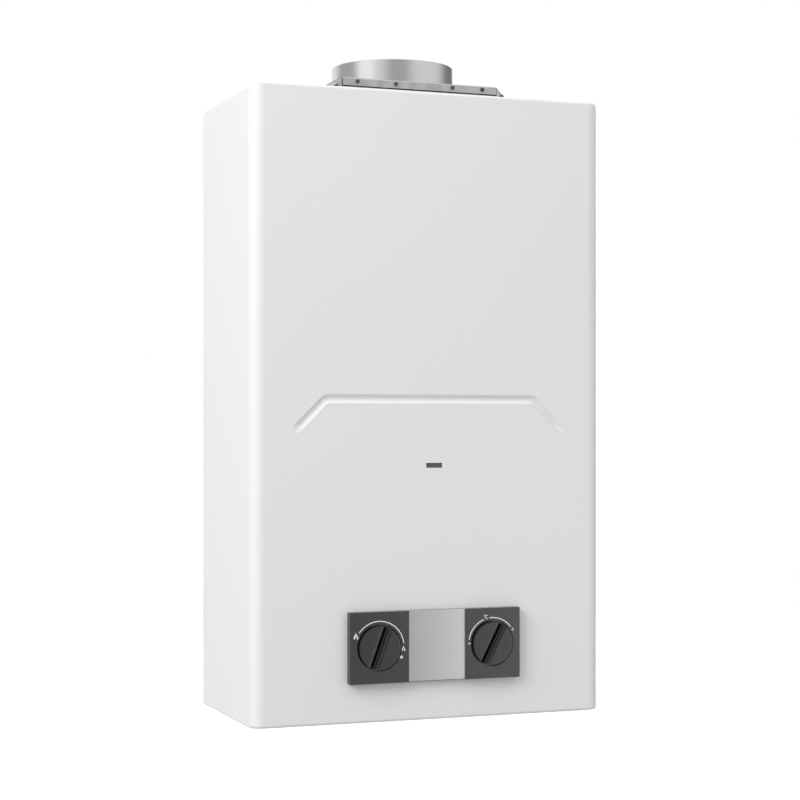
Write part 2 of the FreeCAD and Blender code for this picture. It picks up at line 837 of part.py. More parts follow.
def chamber_bracket():
    """A channel from the back plate to the flange round the top of the exchanger."""
    side = CHAMBER_SIDE - S.chamber_flange
    high = CHAMBER_TOP - S.chamber_sheet
    low = high - S.plate_flange
    near = -S.plate_sheet
    far = CHAMBER_REAR
    web = block("bracket_web", (-side, side), (far, near), (high - S.plate_sheet, high))
    rear = block("bracket_rear", (-side, side), (near - S.plate_sheet, near), (low, high))
    front = block("bracket_front", (-side, side), (far, far + S.plate_sheet), (low, high))
    upper = [web, rear, front]
    floor = BOTTOM + S.burner_bottom
    lower = [block("bracket_low_web", (-side, side), (FRAME_REAR, near), (floor, floor + S.plate_sheet)),
             block("bracket_low_rear", (-side, side), (near - S.plate_sheet, near),
                   (floor, floor + S.plate_flange)),
             block("bracket_low_front", (-side, side), (FRAME_REAR, FRAME_REAR + S.plate_sheet),
                   (floor, floor + S.plate_flange))]
    keep(fuse("bracket_pair", *upper, *lower), "chamber_brackets")


# Control panel


def panel_screw_places():
    return [(S.controls_offset + across * S.panel_screw_x, CONTROLS_Z + up * S.panel_screw_z)
            for across in (-1, 1) for up in (-1, 1)]


def control_panel():
    """The dark moulding: two blocks with round knob recesses, and a lower middle."""
    outline = box_corners((PANEL_LEFT, PANEL_RIGHT), (PANEL_BOTTOM, PANEL_TOP))
    body = profile("panel_body", "XZ_Plane", outline, (PANEL_FRONT, FRONT))
    round_edges(body, "panel_corners", S.panel_corner, lambda edge: runs_along(edge, "Y"))
    round_edges(body, "panel_edges", S.panel_edge, lambda edge: lies_at(edge, "Y", PANEL_FRONT))
    wall = S.panel_wall
    middle = centre_span()
    floor = PANEL_FRONT + S.centre_recess + S.centre_sheet
    tools = [block("panel_middle", middle, (PANEL_FRONT - wall, floor),
                   (PANEL_BOTTOM - wall, PANEL_TOP + wall)),
             rod("panel_power_recess", "y", (POWER_X, CONTROLS_Z), (PANEL_FRONT - wall, KNOB_FLOOR),
                 S.knob_radius + S.knob_gap),
             rod("panel_temperature_recess", "y", (TEMPERATURE_X, CONTROLS_Z),
                 (PANEL_FRONT - wall, KNOB_FLOOR), S.knob_radius + S.knob_gap),
             rod("panel_power_hole", "y", (POWER_X, CONTROLS_Z), (PANEL_FRONT, FRONT), S.knob_hub),
             rod("panel_temperature_hole", "y", (TEMPERATURE_X, CONTROLS_Z), (PANEL_FRONT, FRONT),
                 S.knob_hub)]
    hollow = block("panel_hollow", (PANEL_LEFT + wall, PANEL_RIGHT - wall), (KNOB_FLOOR + wall, FRONT),
                   (PANEL_BOTTOM + wall, PANEL_TOP - wall))
    bosses = []
    pilots = []
    for number, (x, z) in enumerate(panel_screw_places()):
        bosses.append(rod("panel_boss_%d" % number, "y", (x, z), (KNOB_FLOOR, FRONT), S.boss_radius))
        pilots.append(rod("panel_pilot_%d" % number, "y", (x, z), (KNOB_FLOOR + wall / 2, FRONT),
                          S.screw_radius))
    hollowed = cut("panel_hollowed", body, hollow)
    bossed = fuse("panel_bossed", hollowed, *bosses)
    keep(cut("panel", bossed, *tools, *pilots), "control_panel")


def centre_span():
    return (S.centre_offset - S.centre_width / 2, S.centre_offset + S.centre_width / 2)


def centre_plate():
    front = PANEL_FRONT + S.centre_recess
    keep(block("centre_sheet_metal", centre_span(), (front, front + S.centre_sheet),
               (PANEL_BOTTOM + S.centre_short, PANEL_TOP)), "panel_centre_plate")


def panel_screws():
    pieces = []
    reach = S.casing_sheet + FRONT - KNOB_FLOOR - S.panel_wall
    for number, (x, z) in enumerate(panel_screw_places()):
        pieces += screw("panel_screw_%d" % number, "y", (x, z), INNER_FRONT, -1,
                        S.screw_radius, S.screw_head, S.screw_rise, reach)
    keep(fuse("panel_screw_set", *pieces), "panel_screws")


# Knobs and their spindles


def knob(name, x, angle, label):
    """A disc with a thin ridge across it, between two valleys that slope up to its face."""
    body = document.addObject("PartDesign::Body", name)
    thick = KNOB_BACK - KNOB_FACE
    disc = sketch_on(body, "XY_Plane", name + "_disc", 0)
    circle(disc, 0, 0, S.knob_radius)
    pad = body.newObject("PartDesign::Pad", name + "_pad")
    pad.Profile = disc
    pad.setExpression("Length", thick.text)
    document.recompute()
    round_edges(body, name + "_edge", S.knob_edge,
                lambda edge: abs(edge.Vertexes[0].Z - thick.value) < 1e-4 and len(edge.Vertexes) == 1)
    for side, sign in (("left", -1), ("right", 1)):
        scoop = sketch_on(body, "XZ_Plane", name + "_scoop_" + side, 0)
        crest = sign * S.grip_crest / 2
        root = sign * S.grip_root / 2
        end = sign * S.grip_width / 2
        over = thick + S.grip_depth
        polygon(scoop, [(crest, thick), (root, thick - S.grip_depth), (end, thick), (end, over), (crest, over)])
        pocket = body.newObject("PartDesign::Pocket", name + "_pocket_" + side)
        pocket.Profile = scoop
        pocket.Midplane = True
        pocket.setExpression("Length", (4 * S.knob_radius).text)
        document.recompute()
    for place_name, radius, depth in (("seat", S.spindle_radius, S.spindle_seat),
                                      ("tip", S.spindle_tip, S.spindle_in_knob)):
        bore = sketch_on(body, "XY_Plane", name + "_bore_" + place_name, 0)
        circle(bore, 0, 0, radius)
        hole = body.newObject("PartDesign::Pocket", name + "_hole_" + place_name)
        hole.Profile = bore
        hole.Reversed = True
        hole.setExpression("Length", depth.text)
        document.recompute()
    outward = FreeCAD.Rotation(FreeCAD.Vector(1, 0, 0), 90)
    leaning = FreeCAD.Rotation(FreeCAD.Vector(0, 0, 1), -angle.value)
    body.Placement = FreeCAD.Placement(FreeCAD.Vector(), outward * leaning)
    place(body, x, KNOB_BACK, CONTROLS_Z)
    keep(body, label)


def spindle(name, x, end, label):
    """A round spindle from its plug in the valve into its knob, where it ends in a thinner tip."""
    seat = KNOB_BACK - S.spindle_seat
    shaft = rod(name + "_shaft", "y", (x, CONTROLS_Z), (seat, end), S.spindle_radius)
    tip = rod(name + "_tip", "y", (x, CONTROLS_Z), (KNOB_BACK - S.spindle_in_knob, seat), S.spindle_tip)
    keep(fuse(name, shaft, tip), label)


def gas_plug():
    """The cock's plug, with a cross bore that lets gas through when it is turned."""
    barrel = rod("plug_barrel", "y", (POWER_X, CONTROLS_Z), (PLUG_FRONT, PLUG_FRONT + S.plug_depth),
                 S.plug_radius - S.running_gap)
    port = rod("plug_port", "x", (PLUG_FRONT + S.plug_depth / 2, CONTROLS_Z),
               (POWER_X - S.plug_radius, POWER_X + S.plug_radius), S.spindle_radius)
    keep(cut("plug", barrel, port), "gas_plug")


def flow_regulator():
    """The barrel that the temperature spindle turns, with a helical step as a flat."""
    centre = (TEMPERATURE_X, CONTROLS_Z)
    end = REGULATOR_FRONT + S.regulator_length
    barrel = rod("regulator_barrel", "y", centre, (REGULATOR_FRONT, end), S.regulator_radius - S.running_gap)
    flat = block("regulator_flat", (TEMPERATURE_X - S.regulator_radius, TEMPERATURE_X + S.regulator_radius),
                 (end - S.regulator_length / 2, end),
                 (CONTROLS_Z + S.regulator_radius / 2, CONTROLS_Z + S.regulator_radius))
    keep(cut("regulator", barrel, flat), "flow_regulator")


# Draught hood and flue collar


def hood_corners(inset, low):
    """Half-octagon outline of the hood's front: upright sides, then slopes of 45 degrees."""
    foot = HOOD_FOOT - inset
    half = S.hood_half - inset * (math.sqrt(2) - 1)
    shoulder = HOOD_TOP - inset - (foot - half)
    return [(-foot, low), (foot, low), (foot, shoulder), (half, HOOD_TOP - inset),
            (-half, HOOD_TOP - inset), (-foot, shoulder)]


def hood_shell():
    """The hood's sides and back, open below, in front and on top."""
    gauge = S.hood_sheet
    near = HOOD_FRONT + 2 * gauge
    far = -S.hood_rear - gauge
    outside = profile("hood_outside", "XZ_Plane", hood_corners(gauge, CHAMBER_TOP), (near, far))
    inside = profile("hood_inside", "XZ_Plane", hood_corners(2 * gauge, CHAMBER_TOP - gauge),
                     (near - gauge, far - gauge))
    lid = block("hood_lid_opening", (-S.hood_half + 3 * gauge, S.hood_half - 3 * gauge),
                (near - gauge, far - gauge), (HOOD_TOP - 3 * gauge, HOOD_TOP + gauge))
    relief = block("hood_relief", (-S.relief_width / 2, S.relief_width / 2), (far - 2 * gauge, far + gauge),
                   (CHAMBER_TOP + 2 * gauge, CHAMBER_TOP + 2 * gauge + S.relief_height))
    keep(cut("hood", outside, inside, lid, relief), "hood_shell")


def hood_front_panel():
    gauge = S.hood_sheet
    screw_z = HOOD_TOP - S.hood_screw_drop
    holes = [(x, screw_z, S.hood_screw_radius) for x in hood_screw_places()]
    holes += [(x, z, S.hood_screw_radius) for x, z in wing_screw_places()]
    body = profile("hood_front_sheet", "XZ_Plane", hood_corners(gauge, CHAMBER_TOP),
                   (HOOD_FRONT + gauge, HOOD_FRONT + 2 * gauge), holes)
    keep(body, "hood_front_panel")


def hood_top_plate():
    """The flat top with a strip folded down at the front and one at the back."""
    gauge = S.hood_sheet
    half = S.hood_half
    strip_half = half - S.strip_gap
    bend = S.strip_bend
    inside = HOOD_FRONT + gauge
    under = HOOD_TOP - gauge
    sheet_top = block("hood_top_sheet", (-half, half), (HOOD_FRONT + 2 * bend, -S.hood_rear),
                      (under, HOOD_TOP))
    strip_z = (HOOD_TOP - S.hood_strip, HOOD_TOP)
    lap = HOOD_FRONT + 3 * bend
    folded = [(HOOD_FRONT, strip_z[0]), (HOOD_FRONT, HOOD_TOP), (lap, HOOD_TOP), (lap, under),
              (inside, under), (inside, strip_z[0])]
    strip = profile("hood_strip_front", "YZ_Plane", folded, (-strip_half, strip_half))
    round_edges(strip, "hood_strip_bend", bend,
                lambda edge: lies_at(edge, "Y", HOOD_FRONT) and lies_at(edge, "Z", HOOD_TOP))
    back = block("hood_strip_back", (-strip_half, strip_half), (-S.hood_rear - gauge, -S.hood_rear), strip_z)
    centre = (length(0), COLLAR_Y)
    tools = [rod("hood_flue_hole", "z", centre, (HOOD_TOP - 2 * gauge, HOOD_TOP + gauge), S.collar_bore)]
    for number, x in enumerate(hood_screw_places()):
        tools.append(rod("hood_strip_hole_%d" % number, "y", (x, HOOD_TOP - S.hood_screw_drop),
                         (HOOD_FRONT - gauge, HOOD_FRONT + 2 * gauge), S.hood_screw_radius))
    notch_x = half - S.strip_gap / 2
    for number, x in enumerate((-notch_x, notch_x)):
        tools.append(rod("hood_notch_%d" % number, "y", (x, HOOD_TOP - gauge / 2),
                         (HOOD_FRONT - gauge, HOOD_FRONT + 3 * gauge), S.strip_gap))
    keep(cut("hood_top", fuse("hood_top_sheets", sheet_top, strip, back), *tools), "hood_top_plate")


def hood_screw_places():
    shift = S.hood_screw_shift
    return [-S.hood_screw_outer, shift - S.hood_screw_inner, shift + S.hood_screw_inner, S.hood_screw_outer]


def wing_screw_places():
    """The two screws low on the sloping wings, just above the casing."""
    across = S.hood_half + S.wing_screw_offset
    return [(-across, TOP + S.wing_screw_rise), (across, TOP + S.wing_screw_rise)]


def hood_screws():
    pieces = []
    for number, x in enumerate(hood_screw_places()):
        pieces += screw("hood_screw_%d" % number, "y", (x, HOOD_TOP - S.hood_screw_drop), HOOD_FRONT, 1,
                        S.hood_screw_radius, S.hood_screw_head, S.hood_sheet, 3 * S.hood_sheet)
    for number, centre in enumerate(wing_screw_places()):
        pieces += screw("wing_screw_%d" % number, "y", centre, HOOD_FRONT + S.hood_sheet, 1,
                        S.hood_screw_radius, S.hood_screw_head, S.hood_sheet, 2 * S.hood_sheet)
    keep(fuse("hood_screw_set", *pieces), "hood_screws")


def flue_collar():
    centre = (length(0), COLLAR_Y)
    top = HOOD_TOP + S.collar_rise
    tube = rod("collar_tube", "z", centre, (HOOD_TOP, top), S.collar_bore + S.collar_wall)
    rim = rod("collar_rim_ring", "z", centre, (HOOD_TOP, HOOD_TOP + S.collar_wall),
              S.collar_bore + S.collar_wall + S.collar_rim)
    bore = rod("collar_bore_tool", "z", centre, (HOOD_TOP, top), S.collar_bore)
    keep(cut("collar", fuse("collar_outside", tube, rim), bore), "flue_collar")


# Heat exchanger


def tube_rows():
    return [TUBE_FRONT + S.tube_pitch * number for number in range(int(S.tube_count.value))]


def rounded_box(name, inset, z):
    """The exchanger's outline, inset by a length, with corners that follow the coil's bends."""
    side = CHAMBER_SIDE - inset
    body = profile(name, "XY_Plane",
                   box_corners((-side, side), (CHAMBER_FRONT + inset, CHAMBER_REAR - inset)), z)
    round_edges(body, name + "_corners", S.pipe_bend - PIPE_OFFSET - inset,
                lambda edge: runs_along(edge, "Z"))
    return body


def exchanger_jacket():
    """The copper box round the flames, with a flange at the top that carries the hood."""
    gauge = S.chamber_sheet
    outside = rounded_box("jacket_outside", length(0), (CHAMBER_BOTTOM, CHAMBER_TOP))
    flange = block("jacket_flange", (-CHAMBER_SIDE - S.chamber_flange, CHAMBER_SIDE + S.chamber_flange),
                   (CHAMBER_FRONT - S.chamber_flange, CHAMBER_REAR + S.chamber_flange),
                   (CHAMBER_TOP - gauge, CHAMBER_TOP))
    tools = [rounded_box("jacket_inside", gauge, (CHAMBER_BOTTOM, CHAMBER_TOP))]
    for number, y in enumerate(tube_rows()):
        tools.append(rod("jacket_tube_hole_%d" % number, "x", (y, TUBE_Z), (-CHAMBER_SIDE, CHAMBER_SIDE),
                         S.tube_radius))
    for number, x in enumerate(electrode_places()):
        tools.append(rod("jacket_electrode_hole_%d" % number, "y", (x, electrode_z()),
                         (CHAMBER_FRONT, CHAMBER_FRONT + gauge), S.ceramic_radius))
    keep(cut("jacket", fuse("jacket_sheets", outside, flange), *tools), "exchanger_jacket")


def exchanger_fins():
    plates = []
    count = int(S.fin_count.value)
    gauge = S.chamber_sheet
    for number in range(count):
        x = S.fin_pitch * (number - (count - 1) / 2)
        plates.append(block("fin_%d" % number, (x - S.fin_sheet / 2, x + S.fin_sheet / 2),
                            (CHAMBER_FRONT + gauge, CHAMBER_REAR - gauge),
                            (BOTTOM + S.fin_bottom, BOTTOM + S.fin_bottom + S.fin_height)))
    holes = [rod("fin_hole_%d" % number, "x", (y, TUBE_Z), (-CHAMBER_SIDE, CHAMBER_SIDE), S.tube_radius)
             for number, y in enumerate(tube_rows())]
    keep(cut("fin_pack", fuse("fin_plates", *plates), *holes), "exchanger_fins")


def exchanger_tubes():
    """One tube that runs to and fro through the fins, with its return bends outside the jacket."""
    bend = S.tube_pitch / 2
    points = [(-TUBE_END, TUBE_FRONT, TUBE_Z)]
    side = 1
    rows = tube_rows()
    for before, after in zip(rows, rows[1:]):
        points.append((side * (TUBE_END + bend), before, TUBE_Z))
        points.append((side * (TUBE_END + bend), after, TUBE_Z))
        side = -side
    points.append((side * TUBE_END, TUBE_REAR, TUBE_Z))
    keep(pipe("tubes", points, S.tube_radius, S.tube_wall, bend), "exchanger_tubes")


def jacket_coil():
    """The pipe that winds up round the jacket, from the cold feed to the first finned tube."""
    side = CHAMBER_SIDE + PIPE_OFFSET
    front = CHAMBER_FRONT - PIPE_OFFSET
    rear = CHAMBER_REAR + PIPE_OFFSET
    z = BOTTOM + S.coil_bottom
    rise = S.coil_rise
    outer = side + 2 * S.pipe_radius + S.tube_radius
    points = [
        (FEED_X, VALVE_Y, FEED_JOINT_Z),
        (FEED_X, VALVE_Y, z),
        (side, rear, z + rise),
        (-side, rear, z + 2 * rise),
        (-side, front, z + 3 * rise),
        (side, front, z + 4 * rise),
        (side, rear, z + 5 * rise),
        (-side, rear, z + 6 * rise),
        (-side, front, z + 7 * rise),
        (side, front, z + 8 * rise),
        (side, rear, z + 9 * rise),
        (-side, rear, z + 10 * rise),
        (-side, VALVE_Y + 2 * S.pipe_bend, z + 11 * rise),
        (-outer, TUBE_FRONT, z + 12 * rise),
        (-outer, TUBE_FRONT, TUBE_Z),
        (-TUBE_END, TUBE_FRONT, TUBE_Z),
    ]
    keep(pipe("coil", points, S.pipe_radius, S.pipe_wall, S.pipe_bend), "jacket_coil")


def cold_feed_pipe():
    low = MIXER_Z - S.mixer_radius - 3 * S.pipe_radius
    points = [
        (WATER_OUT_X, VALVE_Y, WATER_TOP),
        (WATER_OUT_X, VALVE_Y, low),
        (FEED_X, VALVE_Y, low + S.pipe_radius),
        (FEED_X, VALVE_Y, FEED_JOINT_Z),
    ]
    keep(pipe("cold_feed", points, S.pipe_radius, S.pipe_wall, S.feed_bend), "cold_feed_pipe")


def feed_nut():
    """The union nut that joins the cold feed to the coil."""
    span = (FEED_JOINT_Z - S.nut_height / 2, FEED_JOINT_Z + S.nut_height / 2)
    outside = nut("feed_nut_outside", (FEED_X, VALVE_Y), span, S.feed_nut_flats)
    bore = rod("feed_nut_bore", "z", (FEED_X, VALVE_Y), span, S.pipe_radius)
    keep(cut("feed_nut_solid", outside, bore), "feed_nut")


def hot_outlet_pipe():
    outer = TUBE_END + 2 * S.pipe_radius + S.tube_radius + S.tube_reach
    points = [
        (-TUBE_END, TUBE_REAR, TUBE_Z),
        (-outer, TUBE_REAR, TUBE_Z),
        (-outer, TUBE_REAR, BOTTOM + S.ignition_bottom),
        (S.hot_x, PORT_Y, GAS_TOP - 2 * S.pipe_bend),
        (S.hot_x, PORT_Y, WATER_BOTTOM),
    ]
    keep(pipe("hot_pipe", points, S.pipe_radius, S.pipe_wall, S.outlet_bend), "hot_outlet_pipe")


def overheat_thermostat():
    """A button thermostat on the front of the jacket, just below the fins."""
    keep(thermostat("overheat", CHAMBER_FRONT, OVERHEAT_Z), "overheat_thermostat")


def spillage_thermostat():
    """A button thermostat on the hood, which trips when flue gas spills back."""
    keep(thermostat("spillage", HOOD_FRONT + S.hood_sheet, SPILLAGE_Z), "spillage_thermostat")


def thermostat(name, seat, z):
    """A round can with a flange and two tabs, standing on a wall that faces the front."""
    x = THERMOSTAT_X
    face = seat - S.thermostat_depth
    blade = S.thermostat_blade
    flange = block(name + "_flange", (x - S.thermostat_flange / 2, x + S.thermostat_flange / 2),
                   (seat - S.casing_sheet, seat), (z - S.thermostat_height / 2, z + S.thermostat_height / 2))
    can = rod(name + "_can", "y", (x, z), (face, seat), S.thermostat_radius)
    tabs = [block(name + "_tab_%d" % number, (middle - blade / 2, middle + blade / 2),
                  (face - S.thermostat_tab, face), (z - blade, z + blade))
            for number, middle in enumerate(thermostat_tabs())]
    return fuse(name, flange, can, *tabs)


def thermostat_tabs():
    half = S.thermostat_radius / 2 - S.thermostat_blade / 2
    return [THERMOSTAT_X - half, THERMOSTAT_X + half]


# Burner


def bar_places():
    count = int(S.bar_count.value)
    return [S.bar_pitch * (number - (count - 1) / 2) for number in range(count)]


def burner_bars():
    """Hollow blades with slots across the top, each over a mixing tube that faces its injector."""
    gauge = S.bar_sheet
    high = BOTTOM + S.bar_top
    roof = MIXER_Z + S.mixer_radius + gauge
    mixer_end = BAR_FRONT + S.mixer_length
    bore_end = mixer_end - S.mixer_wall
    solids = []
    hollows = []
    for number, x in enumerate(bar_places()):
        inside = (x - S.bar_width / 2 + gauge, x + S.bar_width / 2 - gauge)
        solids.append(block("blade_%d" % number, (x - S.bar_width / 2, x + S.bar_width / 2),
                            (BAR_FRONT, BAR_REAR), (MIXER_Z, high)))
        solids.append(rod("mixer_%d" % number, "y", (x, MIXER_Z), (BAR_FRONT, mixer_end), S.mixer_radius))
        hollows.append(block("blade_hollow_%d" % number, inside, (BAR_FRONT + gauge, BAR_REAR - gauge),
                             (roof, high - gauge)))
        hollows.append(block("blade_throat_%d" % number, inside, (bore_end - S.mixer_radius, bore_end),
                             (MIXER_Z, roof)))
        hollows.append(rod("mixer_bore_%d" % number, "y", (x, MIXER_Z), (BAR_FRONT, bore_end),
                           S.mixer_radius - S.mixer_wall))
    slots = []
    count = int(S.bar_slots.value)
    middle = (BAR_FRONT + BAR_REAR) / 2
    for number in range(count):
        y = middle + S.bar_slot_pitch * (number - (count - 1) / 2)
        slots.append(block("flame_slot_%d" % number, (-CHAMBER_SIDE, CHAMBER_SIDE),
                           (y - S.bar_slot / 2, y + S.bar_slot / 2),
                           (high - S.bar_slot_depth, high + S.bar_slot_depth)))
    keep(cut("bars", fuse("bar_solids", *solids), *hollows, *slots), "burner_bars")


def burner_frame():
    z = (BOTTOM + S.burner_bottom, BOTTOM + S.burner_top)
    inset = S.chamber_sheet + S.burner_fit
    outside = rounded_box("frame_outside", inset, z)
    inside = rounded_box("frame_inside", inset + S.burner_sheet, z)
    keep(cut("frame", outside, inside), "burner_frame")


def gas_manifold():
    """The pipe across the burner's mouths, with its riser from the gas valve."""
    reach = S.bar_pitch * (S.bar_count - 1) / 2 + S.bar_width
    riser = [
        (S.gas_x, VALVE_Y, GAS_TOP),
        (S.gas_x, VALVE_Y, GAS_TOP + S.manifold_rise),
        (S.gas_x, MANIFOLD_Y, MIXER_Z - 3 * S.manifold_radius),
        (S.gas_x, MANIFOLD_Y, MIXER_Z),
    ]
    radius = S.manifold_radius
    across = pipe("manifold_across", [(-reach, MANIFOLD_Y, MIXER_Z), (reach, MANIFOLD_Y, MIXER_Z)], radius,
                  None, S.pipe_bend)
    up = pipe("manifold_riser", riser, S.riser_radius, None, S.manifold_bend)
    inner = radius - S.manifold_wall
    hollow = pipe("manifold_hollow",
                  [(-reach + inner, MANIFOLD_Y, MIXER_Z), (reach - inner, MANIFOLD_Y, MIXER_Z)],
                  inner, None, S.pipe_bend)
    throat = pipe("manifold_throat", riser, S.riser_radius - S.manifold_wall, None, S.manifold_bend)
    seats = [rod("jet_seat_%d" % number, "y", (x, MIXER_Z), (MANIFOLD_Y, MANIFOLD_Y + radius),
                 S.injector_radius / 2) for number, x in enumerate(bar_places())]
    keep(cut("manifold", fuse("manifold_solid", across, up), hollow, throat, *seats), "gas_manifold")


def injectors():
    """Small brass jets, one for each burner bar, screwed into the manifold."""
    bodies = []
    bores = []
    low = MANIFOLD_Y + S.manifold_radius - S.manifold_wall
    high = low + S.injector_length
    for number, x in enumerate(bar_places()):
        bodies.append(rod("jet_%d" % number, "y", (x, MIXER_Z), (low, high), S.injector_radius / 2))
        bodies.append(rod("jet_hex_%d" % number, "y", (x, MIXER_Z),
                          (low + 2 * S.manifold_wall, high - S.manifold_wall), S.injector_radius))
        bores.append(rod("jet_bore_%d" % number, "y", (x, MIXER_Z), (low, high), S.injector_bore))
    keep(cut("jets", fuse("jet_solids", *bodies), *bores), "injectors")


# Ignition at the burner


def electrode_places():
    return [S.controls_offset - S.electrode_offset, S.controls_offset + S.electrode_offset]


def electrode_z():
    return BOTTOM + S.electrode_height


def electrode(name, x, label):
    """A ceramic sleeve with a metal probe that ends over the burner bars."""
    tip = CHAMBER_FRONT + S.probe_length
    ceramic = rod(name + "_ceramic", "y", (x, electrode_z()),
                  (CHAMBER_FRONT + S.boss_radius - S.ceramic_length, CHAMBER_FRONT + S.boss_radius),
                  S.ceramic_radius)
    probe = rod(name + "_probe", "y", (x, electrode_z()), (CHAMBER_FRONT, tip), S.probe_radius)
    keep(fuse(name, ceramic, probe), label)


def electrode_bracket():
    """The plate on the jacket's front that both ceramics pass through."""
    left, right = electrode_places()
    edge = S.ceramic_radius * 3
    holes = [(x, electrode_z(), S.ceramic_radius) for x in (left, right)]
    corners = box_corners((left - edge, right + edge), (electrode_z() - edge, electrode_z() + edge))
    keep(profile("electrode_sheet", "XZ_Plane", corners, (CHAMBER_FRONT - S.electrode_plate, CHAMBER_FRONT),
                 holes), "electrode_bracket")


# Gas valve

ROD_LINE = (VALVE_Y, CONTROLS_Z)


def gas_valve_body():
    body = profile("gas_block", "XY_Plane", box_corners((S.gas_left, S.gas_right), (VALVE_FRONT, VALVE_REAR)),
                   (GAS_BOTTOM, GAS_TOP))
    round_edges(body, "gas_block_edges", S.boss_radius, lambda edge: runs_along(edge, "Z"))
    clear = S.running_gap
    tools = [
        rod("gas_chamber", "x", ROD_LINE, (S.gas_left, S.gas_seat), S.gas_chamber_radius),
        rod("gas_seat_hole", "x", ROD_LINE, (S.gas_seat, S.gas_seat + S.gas_seat_wall), S.seat_bore),
        rod("gas_outlet_chamber", "x", ROD_LINE, (S.gas_seat + S.gas_seat_wall, S.gas_chamber_right),
            S.seat_bore),
        rod("gas_rod_hole", "x", ROD_LINE, (S.gas_chamber_right, S.gas_right), S.rod_radius + clear),
        rod("gas_plug_hole", "y", (POWER_X, CONTROLS_Z),
            (PLUG_FRONT - clear, PLUG_FRONT + S.plug_depth + clear), S.plug_radius),
        rod("gas_spindle_hole", "y", (POWER_X, CONTROLS_Z), (VALVE_FRONT, PLUG_FRONT),
            S.spindle_radius + clear),
        rod("gas_inlet_hole", "z", (S.gas_x, PORT_Y), (GAS_BOTTOM, CONTROLS_Z - S.gas_chamber_radius),
            S.thread_bore),
    ]
    keep(cut("gas_valve", body, *tools), "gas_valve_body")


def gas_valve_cap():
    """The screwed cap that closes the spring's side of the gas chamber."""
    plug = rod("cap_plug", "x", ROD_LINE, (S.gas_left, S.gas_chamber_left), S.gas_chamber_radius)
    rim = rod("cap_rim_ring", "x", ROD_LINE, (S.gas_left - S.cap_rim, S.gas_left),
              S.gas_chamber_radius + S.cap_rim)
    keep(fuse("cap", plug, rim), "gas_valve_cap")


def gas_valve_disc():
    keep(rod("disc", "x", ROD_LINE, (DISC_LEFT, DISC_RIGHT), S.disc_radius), "gas_valve_disc")


def push_rod():
    """The rod from the diaphragm's plate to the gas disc, with the collar that works the switch."""
    shaft = rod("rod_shaft", "x", ROD_LINE, (DISC_RIGHT, BACKING_LEFT), S.rod_radius)
    collar = rod("rod_collar", "x", ROD_LINE, (COLLAR_LEFT, COLLAR_LEFT + S.collar_width), S.collar_radius)
    keep(fuse("push", shaft, collar), "push_rod")


def return_spring():
    low = S.gas_chamber_left + S.spring_wire
    high = DISC_LEFT - S.spring_wire
    span = (high - low).value
    helix = Part.makeHelix(span / S.spring_turns.value, span, S.spring_radius.value)
    ring = Part.Wire(Part.makeCircle(S.spring_wire.value, FreeCAD.Vector(S.spring_radius.value, 0, 0),
                                     FreeCAD.Vector(0, 1, 0)))
    feature = document.addObject("Part::Feature", "spring")
    feature.Shape = Part.Wire(helix).makePipeShell([ring], True, True)
    feature.Placement = FreeCAD.Placement(FreeCAD.Vector(), TURNS["x"])
    place(feature, *along("x", ROD_LINE, low))
    keep(feature, "return_spring")


def gas_solenoid():
    """The safety valve's coil behind the gas valve, with a stepped core end."""
    x = S.solenoid_x
    end = VALVE_REAR + S.solenoid_length
    coil = rod("solenoid_coil", "y", (x, CONTROLS_Z), (VALVE_REAR, end), S.solenoid_radius)
    core = rod("solenoid_core", "y", (x, CONTROLS_Z), (end, end + S.boss_radius), S.boss_radius)
    keep(fuse("solenoid", coil, core), "gas_solenoid")


# Water valve


def water_valve_body():
    """A block with a round flange that holds one side of the diaphragm."""
    block_left = FLANGE_RIGHT - S.water_flange / 2
    body = profile("water_block", "XY_Plane",
                   box_corners((block_left, S.water_right), (VALVE_FRONT, VALVE_REAR)),
                   (WATER_BOTTOM, WATER_TOP))
    round_edges(body, "water_block_edges", S.boss_radius, lambda edge: runs_along(edge, "Z"))
    flange = rod("water_flange_disc", "x", ROD_LINE, (DIAPHRAGM_RIGHT, FLANGE_RIGHT), S.diaphragm_rim)
    clear = S.running_gap
    tools = [
        rod("water_chamber_hole", "x", ROD_LINE, (DIAPHRAGM_RIGHT, DIAPHRAGM_RIGHT + S.water_chamber),
            S.diaphragm_bore),
        rod("water_spindle_hole", "y", (TEMPERATURE_X, CONTROLS_Z), (VALVE_FRONT, REGULATOR_FRONT),
            S.spindle_radius + clear),
        rod("water_regulator_hole", "y", (TEMPERATURE_X, CONTROLS_Z),
            (REGULATOR_FRONT - clear, REGULATOR_FRONT + S.regulator_length + clear), S.regulator_radius),
        rod("water_inlet_hole", "z", (S.cold_x, PORT_Y), (WATER_BOTTOM, CONTROLS_Z), S.thread_bore),
        rod("water_outlet_hole", "z", (WATER_OUT_X, VALVE_Y), (CONTROLS_Z, WATER_TOP),
            S.pipe_radius - S.pipe_wall),
    ]
    for number, centre in enumerate(cover_screw_places()):
        tools.append(rod("water_screw_hole_%d" % number, "x", centre,
                         (DIAPHRAGM_RIGHT, FLANGE_RIGHT - S.diaphragm_sheet), S.screw_radius))
    keep(cut("water_valve", fuse("water_solid", body, flange), *tools), "water_valve_body")


def cover_screw_places():
    count = int(S.cover_screw_count.value)
    places = []
    for number in range(count):
        angle = length(360.0 * (number + 0.5) / count)
        places.append((VALVE_Y + S.cover_screw_circle * cosine(angle),
                       CONTROLS_Z + S.cover_screw_circle * sine(angle)))
    return places


